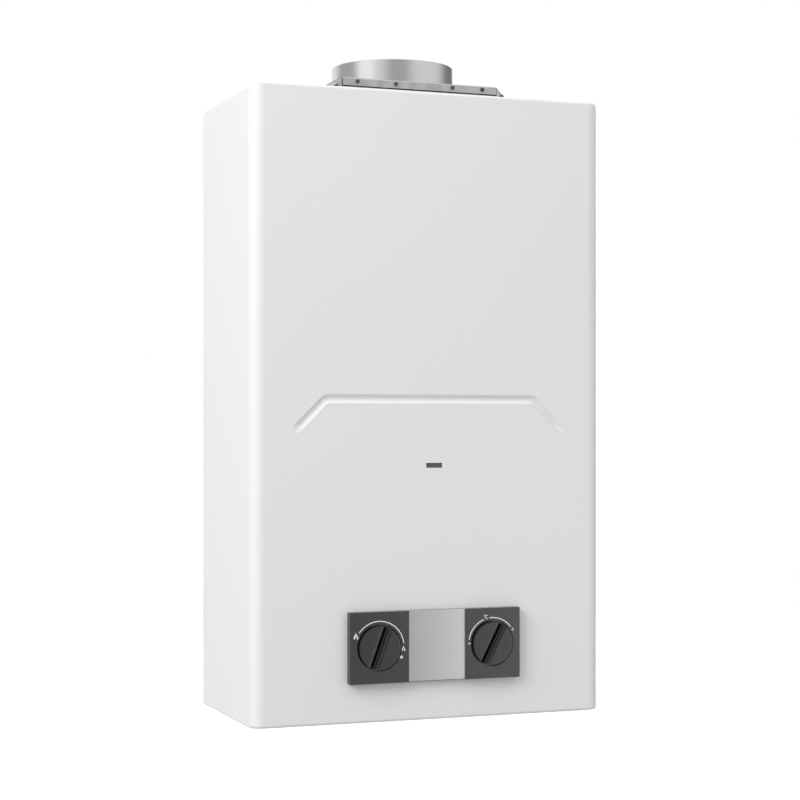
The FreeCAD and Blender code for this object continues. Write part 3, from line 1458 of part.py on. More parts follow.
def water_valve_cover():
    disc = rod("cover_disc", "x", ROD_LINE, (S.cover_left, COVER_RIGHT), S.diaphragm_rim)
    tools = [
        rod("cover_chamber", "x", ROD_LINE, (S.cover_left + S.cover_wall, COVER_RIGHT), S.diaphragm_bore),
        rod("cover_rod_hole", "x", ROD_LINE, (S.cover_left, S.cover_left + S.cover_wall),
            S.rod_radius + S.running_gap),
    ]
    for number, centre in enumerate(cover_screw_places()):
        tools.append(rod("cover_screw_hole_%d" % number, "x", centre, (S.cover_left, COVER_RIGHT),
                         S.screw_radius))
    keep(cut("cover", disc, *tools), "water_valve_cover")


def cover_screws():
    pieces = []
    reach = FLANGE_RIGHT - S.diaphragm_sheet - S.cover_left
    for number, centre in enumerate(cover_screw_places()):
        pieces += screw("cover_screw_%d" % number, "x", centre, S.cover_left, 1,
                        S.screw_radius, S.cover_screw_head, S.screw_rise, reach)
    keep(fuse("cover_screw_set", *pieces), "water_valve_screws")


def diaphragm():
    disc = rod("diaphragm_disc", "x", ROD_LINE, (COVER_RIGHT, DIAPHRAGM_RIGHT), S.diaphragm_rim)
    holes = [rod("diaphragm_hole_%d" % number, "x", centre, (COVER_RIGHT, DIAPHRAGM_RIGHT), S.screw_radius)
             for number, centre in enumerate(cover_screw_places())]
    keep(cut("diaphragm_sheet_rubber", disc, *holes), "diaphragm")


def diaphragm_plate():
    keep(rod("backing", "x", ROD_LINE, (BACKING_LEFT, BACKING_RIGHT), S.backing_radius), "diaphragm_plate")


def drain_plug():
    y = VALVE_FRONT + S.drain_setback
    end = WATER_BOTTOM - S.drain_length
    shank = rod("drain_shank", "z", (S.drain_x, y), (end, WATER_BOTTOM), S.drain_radius)
    head = rod("drain_head", "z", (S.drain_x, y), (end, WATER_BOTTOM - S.drain_neck),
               S.drain_radius + S.cap_rim)
    keep(fuse("drain", shank, head), "drain_plug")


# Connections


def ports():
    return [("hot", S.hot_x), ("gas", S.gas_x), ("cold", S.cold_x)]


def nipple_outside(name, x):
    """A threaded end below the nut, and a slightly thinner neck above it."""
    centre = (x, PORT_Y)
    thread = rod(name + "_thread", "z", centre, (PORT_LOW, NUT_LOW), S.thread_radius)
    neck = rod(name + "_neck", "z", centre, (NUT_LOW, WATER_BOTTOM), S.neck_radius)
    return fuse(name + "_outside", thread, neck)


def nipple(name, x, label):
    """A pipe end that meets its valve above and stands out just below the casing."""
    bore = rod(name + "_bore", "z", (x, PORT_Y), (PORT_LOW, WATER_BOTTOM), S.thread_bore)
    keep(cut(name, nipple_outside(name, x), bore), label)


def hot_nipple():
    """The hot outlet, closed round its pipe at the top."""
    centre = (S.hot_x, PORT_Y)
    shoulder = WATER_BOTTOM - S.pipe_radius
    bore = rod("hot_bore", "z", centre, (PORT_LOW, shoulder), S.thread_bore)
    throat = rod("hot_throat", "z", centre, (shoulder, WATER_BOTTOM), S.pipe_radius - S.pipe_wall)
    keep(cut("hot_end", nipple_outside("hot", S.hot_x), bore, throat), "hot_outlet_nipple")


def connection_plate():
    """The shelf on the back plate that carries the three pipe ends."""
    gauge = S.bracket_sheet
    rear = -S.plate_sheet
    holes = [(x, PORT_Y, S.neck_radius) for name, x in ports()]
    across = (S.bracket_left, S.battery_left)
    shelf = profile("shelf", "XY_Plane", box_corners(across, (FRONT + S.bracket_setback, rear)),
                    (BRACKET_Z, BRACKET_Z + gauge), holes)
    upstand = block("shelf_upstand", across, (rear - gauge, rear), (BRACKET_Z, BRACKET_Z + S.bracket_flange))
    rim = S.shelf_rim
    middle = (S.gas_x + S.cold_x) / 2
    front = PORT_Y + S.nut_flats
    windows = [block("shelf_window_left", (S.bracket_left + rim, middle - rim / 2), (front, -rim),
                     (BRACKET_Z, BRACKET_Z + gauge)),
               block("shelf_window_right", (middle + rim / 2, S.battery_left - rim), (front, -rim),
                     (BRACKET_Z, BRACKET_Z + gauge))]
    keep(cut("shelf_with_windows", fuse("shelf_and_upstand", shelf, upstand), *windows), "connection_plate")


def connection_nuts():
    solids = []
    bores = []
    span = (NUT_LOW, BRACKET_Z)
    for name, x in ports():
        solids.append(nut(name + "_nut", (x, PORT_Y), span, S.nut_flats))
        bores.append(rod(name + "_nut_bore", "z", (x, PORT_Y), span, S.neck_radius))
    keep(cut("nuts", fuse("nut_solids", *solids), *bores), "connection_nuts")


def inlet_filter():
    centre = (S.cold_x, PORT_Y)
    high = WATER_BOTTOM
    low = high - S.filter_length
    outside = rod("filter_outside", "z", centre, (low, high), S.filter_radius)
    inside = rod("filter_inside", "z", centre, (low + S.filter_wall, high), S.filter_radius - S.filter_wall)
    keep(cut("filter", outside, inside), "inlet_filter")


# Microswitch


def microswitch():
    """The switch on the gas valve's side that senses the push rod."""
    right = S.gas_right + S.switch_width
    base = SWITCH_BASE
    case = block("switch_case", (S.gas_right, right + S.switch_width),
                 (PIVOT_Y - S.switch_depth / 2, PIVOT_Y + S.switch_depth), (base, base + S.switch_height))
    socket = rod("switch_socket", "z", (SWITCH_X, PIVOT_Y), (base, base + S.pivot_length + S.disc_gap),
                 S.pivot_radius + S.running_gap)
    keep(cut("switch", case, socket), "microswitch")


def switch_lever():
    """A thin blade from its pivot in the switch down to the collar on the push rod."""
    half = S.lever_sheet / 2
    low = CONTROLS_Z - S.lever_width / 2
    high = SWITCH_BASE - S.disc_gap
    blade = block("lever_blade", (SWITCH_X - half, SWITCH_X + half), (PIVOT_Y, VALVE_Y - S.rod_radius - half),
                  (low, high))
    pin = rod("lever_pin", "z", (SWITCH_X, PIVOT_Y), (low, SWITCH_BASE + S.pivot_length), S.pivot_radius)
    keep(fuse("lever", blade, pin), "switch_lever")


# Electrics


def lid_ears():
    """The two stations along Y between which the lid's knuckle turns."""
    return (BATTERY_FRONT + S.ear_width, BATTERY_REAR - S.ear_width)


def battery_box():
    """The box for two cells, open below, with an ear and a stub pin at each end for the lid."""
    wall = S.battery_wall
    outside = block("box_outside", (S.battery_left, BATTERY_RIGHT), (BATTERY_FRONT, BATTERY_REAR),
                    (BATTERY_LOW, BATTERY_HIGH))
    inside = block("box_inside", (S.battery_left + wall, BATTERY_RIGHT - wall),
                   (BATTERY_FRONT + wall, BATTERY_REAR - wall), (BATTERY_LOW, BATTERY_HIGH - wall))
    hollow = cut("box_hollow", outside, inside)
    near, far = lid_ears()
    ear_x = (BATTERY_RIGHT - 2 * S.knuckle_radius, BATTERY_RIGHT)
    ear_z = (LID_AXIS_Z - S.knuckle_radius, BATTERY_LOW)
    ears = [block("box_ear_front", ear_x, (BATTERY_FRONT, near - S.lid_gap), ear_z),
            block("box_ear_rear", ear_x, (far + S.lid_gap, BATTERY_REAR), ear_z)]
    pins = [rod("box_pin_front", "y", (LID_AXIS_X, LID_AXIS_Z), (BATTERY_FRONT, near + S.pivot_length),
                S.pivot_radius),
            rod("box_pin_rear", "y", (LID_AXIS_X, LID_AXIS_Z), (far - S.pivot_length, BATTERY_REAR),
                S.pivot_radius)]
    keep(fuse("box", hollow, *ears, *pins), "battery_box")


def battery_lid():
    """A flap under the battery box, hinged along its outer edge."""
    high = BATTERY_LOW - S.lid_gap
    low = high - S.lid_sheet
    near, far = lid_ears()
    edge = LID_AXIS_X - 2 * S.knuckle_radius
    flap = block("lid_flap", (S.battery_left, edge), (BATTERY_FRONT, BATTERY_REAR), (low, high))
    bridge = block("lid_bridge", (edge, LID_AXIS_X), (near, far), (low, high))
    knuckle = rod("lid_knuckle", "y", (LID_AXIS_X, LID_AXIS_Z), (near, far), S.knuckle_radius)
    catch = block("lid_catch", (S.battery_left - S.lid_sheet, S.battery_left),
                  (BATTERY_FRONT + S.catch_inset, BATTERY_REAR - S.catch_inset), (low, high))
    bore = rod("lid_bore", "y", (LID_AXIS_X, LID_AXIS_Z), (near, far), S.pivot_radius + S.running_gap)
    keep(cut("lid", fuse("lid_solid", flap, bridge, knuckle, catch), bore), "battery_lid")


def batteries():
    cells = []
    for number in range(2):
        front = BATTERY_FRONT + S.battery_wall + S.battery_gap + S.battery_length * number
        cells.append(rod("cell_%d" % number, "y", (BATTERY_X, BATTERY_Z),
                         (front, front + S.battery_length - S.battery_gap * 2), S.battery_radius))
        cells.append(rod("cell_cap_%d" % number, "y", (BATTERY_X, BATTERY_Z),
                         (front + S.battery_length - S.battery_gap * 2, front + S.battery_length),
                         S.battery_radius / 3))
    keep(fuse("cells", *cells), "batteries")


def ignition_box():
    right = -FRAME_SIDE
    body = profile("ignition_case", "XY_Plane",
                   box_corners((S.ignition_left, right),
                               (FRONT + S.ignition_setback, FRONT + S.ignition_setback + S.ignition_depth)),
                   (BOTTOM + S.ignition_bottom, BOTTOM + S.ignition_top))
    round_edges(body, "ignition_edges", S.bottom_radius, lambda edge: runs_along(edge, "Z"))
    keep(body, "ignition_box")


def lead(number, points):
    """A round lead along points chosen by hand, with arcs as wide as its runs allow."""
    feature = document.addObject("Part::Feature", "lead_%d" % number)
    feature.Shape = swept(rounded_path([vector(point) for point in points]), S.lead_radius.value)
    return feature


def wiring():
    """The leads from the ignition box to the electrodes, thermostats, solenoid, switch and batteries."""
    box_x = S.ignition_left
    box_y = FRONT + S.ignition_setback
    low = BOTTOM + S.ignition_bottom
    high = BOTTOM + S.ignition_top
    lane = box_y + 4
    spark_x, sensor_x = electrode_places()
    tip = CHAMBER_FRONT + S.boss_radius - S.ceramic_length
    tab_x = thermostat_tabs()[0]
    tab_reach = S.thermostat_depth + S.thermostat_tab
    overheat_y = CHAMBER_FRONT - tab_reach
    spillage_y = HOOD_FRONT + S.hood_sheet - tab_reach
    core_end = VALVE_REAR + S.solenoid_length + S.boss_radius
    switch_top = SWITCH_BASE + S.switch_height
    leads = [
        lead(0, [(box_x + 17, lane + 8, high), (box_x + 17, lane + 8, high + 14),
                 (spark_x - 46, tip + 4, high + 20), (spark_x, tip - 4, electrode_z()),
                 (spark_x, tip, electrode_z())]),
        lead(1, [(box_x + 26, lane + 8, high), (box_x + 26, lane + 8, high + 10),
                 (spark_x - 46, tip + 4, high + 8), (spark_x, tip - 2, high + 10),
                 (sensor_x, tip - 4, electrode_z()), (sensor_x, tip, electrode_z())]),
        lead(2, [(box_x + 11, lane, high), (box_x + 11, lane, OVERHEAT_Z - 14),
                 (tab_x - 38, overheat_y - 3, OVERHEAT_Z - 3), (tab_x, overheat_y - 4, OVERHEAT_Z),
                 (tab_x, overheat_y, OVERHEAT_Z)]),
        lead(3, [(box_x + 6, lane, high), (box_x + 6, lane, SPILLAGE_Z - 30),
                 (tab_x - 38, spillage_y - 3, SPILLAGE_Z - 4), (tab_x, spillage_y - 4, SPILLAGE_Z),
                 (tab_x, spillage_y, SPILLAGE_Z)]),
        lead(4, [(box_x + 30, VALVE_Y, low), (box_x + 30, VALVE_Y, low - 9),
                 (S.solenoid_x - 26, core_end - 10, low - 9), (S.solenoid_x, core_end + 12, CONTROLS_Z + 14),
                 (S.solenoid_x, core_end + 12, CONTROLS_Z), (S.solenoid_x, core_end, CONTROLS_Z)]),
        lead(5, [(SWITCH_X, PIVOT_Y, switch_top), (SWITCH_X, PIVOT_Y, switch_top + 16),
                 (S.gas_x + 20, VALVE_REAR - 10, low + 4), (S.gas_left - 16, VALVE_REAR - 10, low + 6),
                 (box_x + 22, VALVE_REAR - 16, low - 10), (box_x + 22, VALVE_Y - 14, low - 10),
                 (box_x + 22, VALVE_Y - 14, low)]),
        lead(6, [(BATTERY_X, box_y + 8, BATTERY_HIGH), (BATTERY_X, box_y + 8, low - 16),
                 (BATTERY_X - 26, box_y + 2, low - 6), (box_x + 46, box_y + 2, low - 6),
                 (box_x + 14, box_y + 20, low - 8), (box_x + 14, box_y + 20, low)]),
    ]
    keep(fuse("leads", *leads), "wiring")


def check_objects():
    """Stop if any object of the document failed."""
    for thing in document.Objects:
        if "Invalid" in thing.State or "Error" in thing.State:
            raise RuntimeError("%s failed: %s" % (thing.Name, thing.State))


def write_parts():
    os.makedirs("parts", exist_ok=True)
    for part in PARTS:
        if part.Shape.isNull() or not part.Shape.isValid():
            raise RuntimeError("%s has no valid shape" % part.Label)
    for part in PARTS:
        part.Shape.exportStep("parts/%s.step" % part.Label)


front_casing()
casing_screws()
sight_window()
back_plate()
chamber_bracket()
control_panel()
centre_plate()
panel_screws()
knob("power", POWER_X, S.power_angle, "power_knob")
knob("temperature", TEMPERATURE_X, S.temperature_angle, "temperature_knob")
spindle("power_shaft", POWER_X, PLUG_FRONT, "power_spindle")
spindle("temperature_shaft", TEMPERATURE_X, REGULATOR_FRONT, "temperature_spindle")
gas_plug()
flow_regulator()
hood_shell()
hood_front_panel()
hood_top_plate()
hood_screws()
flue_collar()
exchanger_jacket()
exchanger_fins()
exchanger_tubes()
jacket_coil()
cold_feed_pipe()
feed_nut()
hot_outlet_pipe()
overheat_thermostat()
spillage_thermostat()
burner_bars()
burner_frame()
gas_manifold()
injectors()
electrode("spark", electrode_places()[0], "spark_electrode")
electrode("sensor", electrode_places()[1], "flame_sensor")
electrode_bracket()
gas_valve_body()
gas_valve_cap()
gas_valve_disc()
push_rod()
return_spring()
gas_solenoid()
water_valve_body()
water_valve_cover()
cover_screws()
diaphragm()
diaphragm_plate()
drain_plug()
nipple("gas_end", S.gas_x, "gas_inlet_nipple")
nipple("cold_end", S.cold_x, "cold_inlet_nipple")
hot_nipple()
connection_plate()
connection_nuts()
inlet_filter()
microswitch()
switch_lever()
battery_box()
battery_lid()
batteries()
ignition_box()
wiring()
document.recompute()
check_objects()
write_parts()
for part in PARTS:
    print(part.Label, len(part.Shape.Solids), round(part.Shape.Volume, 1))
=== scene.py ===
import json
import math

import bpy
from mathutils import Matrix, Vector


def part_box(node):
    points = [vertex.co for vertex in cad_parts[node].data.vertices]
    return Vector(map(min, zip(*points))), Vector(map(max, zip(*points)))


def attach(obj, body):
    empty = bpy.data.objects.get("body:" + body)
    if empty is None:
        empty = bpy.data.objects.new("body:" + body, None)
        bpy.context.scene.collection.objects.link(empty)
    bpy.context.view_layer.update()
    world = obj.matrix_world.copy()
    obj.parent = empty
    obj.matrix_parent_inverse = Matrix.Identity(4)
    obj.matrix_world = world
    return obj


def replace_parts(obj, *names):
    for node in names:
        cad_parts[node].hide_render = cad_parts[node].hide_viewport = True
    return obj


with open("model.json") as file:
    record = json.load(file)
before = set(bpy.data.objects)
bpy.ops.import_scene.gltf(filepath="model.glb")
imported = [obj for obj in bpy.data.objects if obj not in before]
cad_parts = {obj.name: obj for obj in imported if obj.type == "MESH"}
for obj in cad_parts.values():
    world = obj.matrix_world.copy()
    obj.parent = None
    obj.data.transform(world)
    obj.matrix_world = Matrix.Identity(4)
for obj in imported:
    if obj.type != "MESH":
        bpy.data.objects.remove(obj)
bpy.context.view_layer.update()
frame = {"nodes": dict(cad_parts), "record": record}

scene = bpy.context.scene
nodes = frame["nodes"]
MM = 0.001

# Stations from the CAD source, in metres

FRONT = -0.166
BOTTOM = -0.520
CONTROLS_Z = -0.4544
MARKS_Z = -0.4542
PANEL_FRONT = -0.1735
PLATE_LEFT = -0.0239
PLATE_RIGHT = 0.0301
POWER_X = -0.0513
TEMPERATURE_X = 0.0547
KNOB_BACK = -0.1709
KNOB_RADIUS = 0.0190
HOOD_TOP = 0.0436
HOOD_FRONT = -0.1397
COLLAR_Y = -0.0665
COLLAR_TOP = 0.0667
COLLAR_BORE = 0.0550
COLLAR_OUT = 0.0557
PORT_Y = -0.095
PORT_LOW = -0.528
NUT_LOW = -0.513
NECK_TOP = -0.4814
THREAD_OUT = 0.01048
NECK_OUT = 0.0102
PORT_BORE = 0.0080
GAS_X = -0.050
COLD_X = 0.075
HOT_X = -0.115

# Materials


class Finish:
    """A material with one Principled shader, and short calls for its nodes."""

    def __init__(self, name, colour, metallic=0.0, rough=0.5, **settings):
        self.material = bpy.data.materials.new(name)
        self.material.use_nodes = True
        self.tree = self.material.node_tree
        self.tree.nodes.clear()
        self.shader = self.tree.nodes.new("ShaderNodeBsdfPrincipled")
        output = self.tree.nodes.new("ShaderNodeOutputMaterial")
        self.link(self.shader.outputs["BSDF"], output.inputs["Surface"])
        self.where = self.tree.nodes.new("ShaderNodeTexCoord").outputs["Object"]
        self.put("Base Color", grey(colour))
        self.put("Metallic", metallic)
        self.put("Roughness", rough)
        for socket, value in settings.items():
            self.put(socket.replace("_", " "), value)
        self.relief = None

    def put(self, socket, value):
        self.shader.inputs[socket].default_value = value

    def link(self, start, end):
        self.tree.links.new(start, end)

    def node(self, kind, **values):
        made = self.tree.nodes.new(kind)
        for key, value in values.items():
            setattr(made, key, value)
        return made

    def place(self, stretch):
        mapping = self.node("ShaderNodeMapping")
        mapping.inputs["Scale"].default_value = stretch
        self.link(self.where, mapping.inputs["Vector"])
        return mapping.outputs["Vector"]

    def noise(self, scale, detail=2.0, stretch=None, rough=0.5):
        made = self.node("ShaderNodeTexNoise")
        made.inputs["Scale"].default_value = scale
        made.inputs["Detail"].default_value = detail
        made.inputs["Roughness"].default_value = rough
        self.link(self.place(stretch) if stretch else self.where, made.inputs["Vector"])
        return made.outputs["Fac"]

    def cells(self, scale, feature="F1"):
        made = self.node("ShaderNodeTexVoronoi", feature=feature)
        made.inputs["Scale"].default_value = scale
        self.link(self.where, made.inputs["Vector"])
        return made

    def spread(self, value, low, high, start=0.3, end=0.7):
        made = self.node("ShaderNodeMapRange")
        made.inputs["From Min"].default_value = start
        made.inputs["From Max"].default_value = end
        made.inputs["To Min"].default_value = low
        made.inputs["To Max"].default_value = high
        self.link(value, made.inputs["Value"])
        return made.outputs["Result"]

    def blend(self, value, first, second, start=0.3, end=0.7):
        made = self.node("ShaderNodeValToRGB")
        made.color_ramp.elements[0].color = grey(first)
        made.color_ramp.elements[1].color = grey(second)
        self.link(self.spread(value, 0.0, 1.0, start, end), made.inputs["Fac"])
        return made.outputs["Color"]

    def multiply(self, first, second):
        made = self.node("ShaderNodeMix", data_type="RGBA", blend_type="MULTIPLY")
        made.inputs["Factor"].default_value = 1.0
        self.link(first, made.inputs[6])
        self.link(second, made.inputs[7])
        return made.outputs[2]

    def colour(self, value):
        self.link(value, self.shader.inputs["Base Color"])

    def rough(self, value):
        self.link(value, self.shader.inputs["Roughness"])

    def bump(self, height, distance, strength):
        made = self.node("ShaderNodeBump")
        made.inputs["Distance"].default_value = distance
        made.inputs["Strength"].default_value = strength
        self.link(height, made.inputs["Height"])
        if self.relief:
            self.link(self.relief, made.inputs["Normal"])
        self.relief = made.outputs["Normal"]
        self.link(self.relief, self.shader.inputs["Normal"])


def grey(colour):
    if isinstance(colour, (int, float)):
        colour = (colour, colour, colour)
    return tuple(colour[:3]) + (1.0,)


def enamel():
    made = Finish("white_enamel_coat", 0.80, rough=0.26)
    made.colour(made.blend(made.noise(4.0), 0.797, 0.803))
    made.rough(made.spread(made.noise(240.0, 2.0), 0.25, 0.27))
    made.bump(made.noise(420.0, 1.0), 0.00012, 0.05)
    return made.material


def zinc():
    made = Finish("galvanised_sheet", 0.55, metallic=0.9, rough=0.42)
    flakes = 150.0
    spangle = made.cells(flakes)
    cell = made.blend(spangle.outputs["Color"], 0.55, 0.69, 0.0, 1.0)
    cloud = made.blend(made.noise(30.0, 3.0), 0.90, 1.0)
    made.colour(made.multiply(cell, cloud))
    made.rough(made.spread(spangle.outputs["Color"], 0.34, 0.52, 0.0, 1.0))
    made.bump(made.cells(flakes, feature="DISTANCE_TO_EDGE").outputs["Distance"], 0.0001, 0.12)
    made.bump(made.noise(900.0, 2.0), 0.00003, 0.5)
    return made.material


def spun():
    made = Finish("spun_aluminium", 0.86, metallic=1.0, rough=0.20)
    rings = made.noise(60.0, 4.0, (0.05, 0.05, 22.0), 0.6)
    made.colour(made.blend(made.noise(16.0, 3.0), 0.83, 0.89))
    made.rough(made.spread(rings, 0.17, 0.27))
    made.bump(rings, 0.00004, 0.35)
    return made.material


def moulded(name, colour, low, high, grain, shine=0.5):
    made = Finish(name, colour, rough=(low + high) / 2, Specular_IOR_Level=shine)
    made.colour(made.blend(made.noise(90.0, 3.0), colour * 0.93, colour * 1.07))
    made.rough(made.spread(made.noise(140.0, 3.0), low, high))
    made.bump(made.cells(1500.0).outputs["Distance"], 0.00005, grain)
    made.bump(made.noise(60.0, 1.0), 0.0002, 0.06)
    return made.material


def tinted(name, dark, light, metallic, low, high, scale, grain=0.2):
    """A metal or ceramic whose colour and gloss vary a little over the surface."""
    made = Finish(name, light, metallic=metallic, rough=(low + high) / 2)
    made.colour(made.blend(made.noise(scale, 4.0), dark, light))
    made.rough(made.spread(made.noise(scale * 2.5, 3.0), low, high))
    made.bump(made.noise(scale * 20.0, 2.0), 0.00005, grain)
    return made.material


def brushed(name, dark, light, low, high, stretch):
    made = Finish(name, light, metallic=0.85, rough=(low + high) / 2)
    lines = made.noise(90.0, 4.0, stretch, 0.6)
    made.colour(made.blend(lines, dark, light))
    made.rough(made.spread(lines, low, high))
    made.bump(lines, 0.00003, 0.25)
    return made.material


def cast(name, dark, light, low, high):
    made = Finish(name, light, metallic=0.9, rough=(low + high) / 2)
    made.colour(made.blend(made.noise(45.0, 5.0), dark, light))
    made.rough(made.spread(made.noise(160.0, 3.0), low, high))
    made.bump(made.noise(700.0, 3.0), 0.0002, 0.45)
    made.bump(made.noise(60.0, 2.0), 0.0006, 0.15)
    return made.material


def satin():
    """Silver lacquer with painted shade: its colour runs a little lighter towards the right, standing in
    for how the light falls across the plate.
    """
    made = Finish("silver_plate_painted_shade", 0.60, metallic=0.9, rough=0.34)
    apart = made.node("ShaderNodeSeparateXYZ")
    made.link(made.where, apart.inputs["Vector"])
    # Painted shade: the colour is darker at the plate's left end and lighter at its right
    painted_shade_ramp = made.blend(apart.outputs["X"], 0.467, 0.63, PLATE_LEFT, PLATE_RIGHT)
    made.colour(made.multiply(painted_shade_ramp, made.blend(made.noise(60.0, 3.0), 0.97, 1.0)))
    made.rough(made.spread(made.noise(300.0, 3.0), 0.30, 0.38))
    made.bump(made.noise(1800.0, 2.0), 0.00002, 0.3)
    return made.material


def glass():
    made = Finish("heat_glass", 0.30, rough=0.06, Transmission_Weight=0.75, IOR=1.47)
    made.rough(made.spread(made.noise(60.0, 3.0), 0.04, 0.12))
    made.bump(made.noise(30.0), 0.0002, 0.05)
    return made.material


def printed():
    made = Finish("dial_print", 0.90, rough=0.5)
    made.colour(made.blend(made.noise(900.0, 2.0), 0.87, 0.93))
    made.rough(made.spread(made.noise(600.0), 0.42, 0.58))
    made.bump(made.noise(2500.0), 0.00001, 0.3)
    return made.material


FINISHES = {
    "white_enamel": enamel(),
    "zinc_sheet": zinc(),
    "collar_metal": spun(),
    "copper": tinted("bare_copper", (0.62, 0.27, 0.16), (0.86, 0.46, 0.31), 1.0, 0.22, 0.42, 25.0),
    "brass": tinted("turned_brass", (0.66, 0.47, 0.20), (0.83, 0.64, 0.33), 1.0, 0.20, 0.34, 50.0),
    "dark_plastic": moulded("panel_moulding", 0.010, 0.24, 0.30, 0.15, 0.95),
    "knob_plastic": moulded("knob_moulding", 0.008, 0.24, 0.32, 0.12, 0.8),
    "silver_plate": satin(),
    "window_glass": glass(),
    "cast_aluminium": cast("die_cast_aluminium", 0.42, 0.60, 0.38, 0.58),
    "water_brass": cast("cast_brass", (0.50, 0.36, 0.17), (0.72, 0.56, 0.30), 0.34, 0.55),
    "steel": tinted("zinc_plated_steel", 0.45, 0.62, 1.0, 0.28, 0.45, 60.0),
    "stainless": brushed("stainless_sheet", 0.42, 0.56, 0.26, 0.44, (1.0, 1.0, 14.0)),
    "ceramic": tinted("glazed_ceramic", (0.76, 0.74, 0.68), (0.86, 0.85, 0.80), 0.0, 0.10, 0.22,
                      80.0, 0.1),
    "black_plastic": moulded("black_moulding", 0.018, 0.40, 0.55, 0.3),
    "grey_plastic": moulded("grey_moulding", 0.26, 0.42, 0.56, 0.3),
    "rubber": moulded("diaphragm_rubber", 0.022, 0.60, 0.80, 0.4, 0.3),
    "cell_metal": tinted("cell_jacket", (0.45, 0.40, 0.26), (0.62, 0.56, 0.38), 0.8, 0.26, 0.40, 70.0),
    "cable": moulded("wire_jacket", 0.05, 0.42, 0.60, 0.2),
}
PRINT = printed()
BLACKENED = tinted("blackened_steel", 0.09, 0.20, 0.8, 0.30, 0.45, 60.0)

for subpart in frame["record"]["subparts"]:
    nodes[subpart["node"]].material_slots[0].material = FINISHES[subpart["material_slot"]]

# Pieces made in mesh code


def build(name, points, faces, material, body, slot=None, sharp=32.0):
    mesh = bpy.data.meshes.new(name)
    mesh.from_pydata([tuple(point) for point in points], [], faces)
    mesh.validate()
    mesh.materials.append(material)
    for polygon in mesh.polygons:
        polygon.use_smooth = True
    mesh.set_sharp_from_angle(angle=math.radians(sharp))
    piece = bpy.data.objects.new(name, mesh)
    scene.collection.objects.link(piece)
    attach(piece, body)
    return piece


def ring_faces(rows, count):
    """Quads between closed rings of points, and from the last ring back to the first."""
    faces = []
    for row in range(rows):
        start = row * count
        after = (row + 1) % rows * count
        for step in range(count):
            beside = (step + 1) % count
            faces.append((start + step, start + beside, after + beside, after + step))
    return faces


def join(parts):
    points = []
    faces = []
    for some_points, some_faces in parts:
        start = len(points)
        points += some_points
        faces += [tuple(start + index for index in face) for face in some_faces]
    return points, faces


def slab(outline, back, front):
    """A flat piece facing -Y from an outline of (x, z) points, with its edge."""
    count = len(outline)
    points = [(x, front, z) for x, z in outline] + [(x, back, z) for x, z in outline]
    faces = [tuple(range(count)), tuple(reversed(range(count, 2 * count)))]
    for step in range(count):
        beside = (step + 1) % count
        faces.append((step, count + step, count + beside, beside))
    return points, faces


def band(centre, radius, start, end, width, back, front):
    """An arc of print as a strip of quads; angles in degrees from +X towards +Z."""
    steps = max(6, int(abs(end - start) / 3))
    points = []
    for step in range(steps + 1):
        angle = math.radians(start + (end - start) * step / steps)
        for reach in (radius - width / 2, radius + width / 2):
            x = centre[0] + reach * math.cos(angle)
            z = centre[1] + reach * math.sin(angle)
            points += [(x, front, z), (x, back, z)]
    faces = [(0, 1, 3, 2)]
    for step in range(steps):
        a = 4 * step
        b = a + 4
        faces += [(a, a + 2, b + 2, b), (a + 1, b + 1, b + 3, a + 3),
                  (a, b, b + 1, a + 1), (a + 2, a + 3, b + 3, b + 2)]
    last = 4 * steps
    faces.append((last, last + 2, last + 3, last + 1))
    return points, faces


def smooth_outline(corners, steps):
    """A closed outline rounded through its corners, with so many steps from each to the next."""
    count = len(corners)
    outline = []
    for index in range(count):
        before, here, after, beyond = (corners[(index + shift) % count] for shift in (-1, 0, 1, 2))
        for step in range(steps):
            t = step / steps
            point = []
            for axis in range(2):
                a, b, c, d = before[axis], here[axis], after[axis], beyond[axis]
                point.append(0.5 * (2 * b + (c - a) * t + (2 * a - 5 * b + 4 * c - d) * t * t
                                    + (3 * b - a - 3 * c + d) * t ** 3))
            outline.append(tuple(point))
    return outline


# Dial marks, printed on the panel. A place is a radius in millimetres about the knob and an angle
# in degrees from +X towards +Z, and an arc has a second angle

INK_FRONT = PANEL_FRONT - 0.00006
INK_BACK = PANEL_FRONT + 0.0001
ARC_WIDTH = 0.75
POWER_ARC = (22.8, 144.7, 8.1)
HIGH_FLAME = (24.0, 153.2)
HIGH_FLAME_SIZE = (4.3, 6.0)
LOW_FLAME = (22.35, -3.8)
LOW_FLAME_SIZE = (3.45, 4.8)
OFF_DOT = (22.2, -23.7)
DOT_ACROSS = 2.8
LESS_ARC = (22.4, 170.8, 111.1)
MORE_ARC = (22.4, 96.7, 37.8)
LESS_MARK = (21.8, 179.2)
LESS_WIDTH = 0.75
MORE_MARK = (22.6, 29.7)
MORE_WIDTH = 0.5
BAR_LENGTH = 2.8
DEGREE_SIGN = (23.9, 104.3)
LETTER_ARC = (1.4, 48, 312)
LETTER_WIDTH = 0.58
RING_ARC = (0.45, 0, 360)
RING_WIDTH = 0.3
LETTER_SHIFT = (0.7, -0.1)
RING_SHIFT = (-1.45, 1.35)

# A flame's corners, as shares of its width and height

FLAME = [(-0.06, 0.50), (0.08, 0.24), (0.30, 0.02), (0.47, -0.24), (0.42, -0.44), (0.27, -0.49),
         (0.17, -0.36), (0.13, -0.14), (0.01, 0.06), (-0.12, -0.12), (-0.17, -0.36), (-0.27, -0.49),
         (-0.43, -0.43), (-0.48, -0.22), (-0.33, 0.03), (-0.16, 0.24)]


def polar(centre, radius, angle):
    return (centre[0] + radius * MM * math.cos(math.radians(angle)),
            centre[1] + radius * MM * math.sin(math.radians(angle)))


def shifted(place, shift):
    return (place[0] + shift[0] * MM, place[1] + shift[1] * MM)


def flame(centre, width, height):
    corners = [(centre[0] + x * width * MM, centre[1] + y * height * MM) for x, y in FLAME]
    return slab(smooth_outline(corners, 4)[::-1], INK_BACK, INK_FRONT)


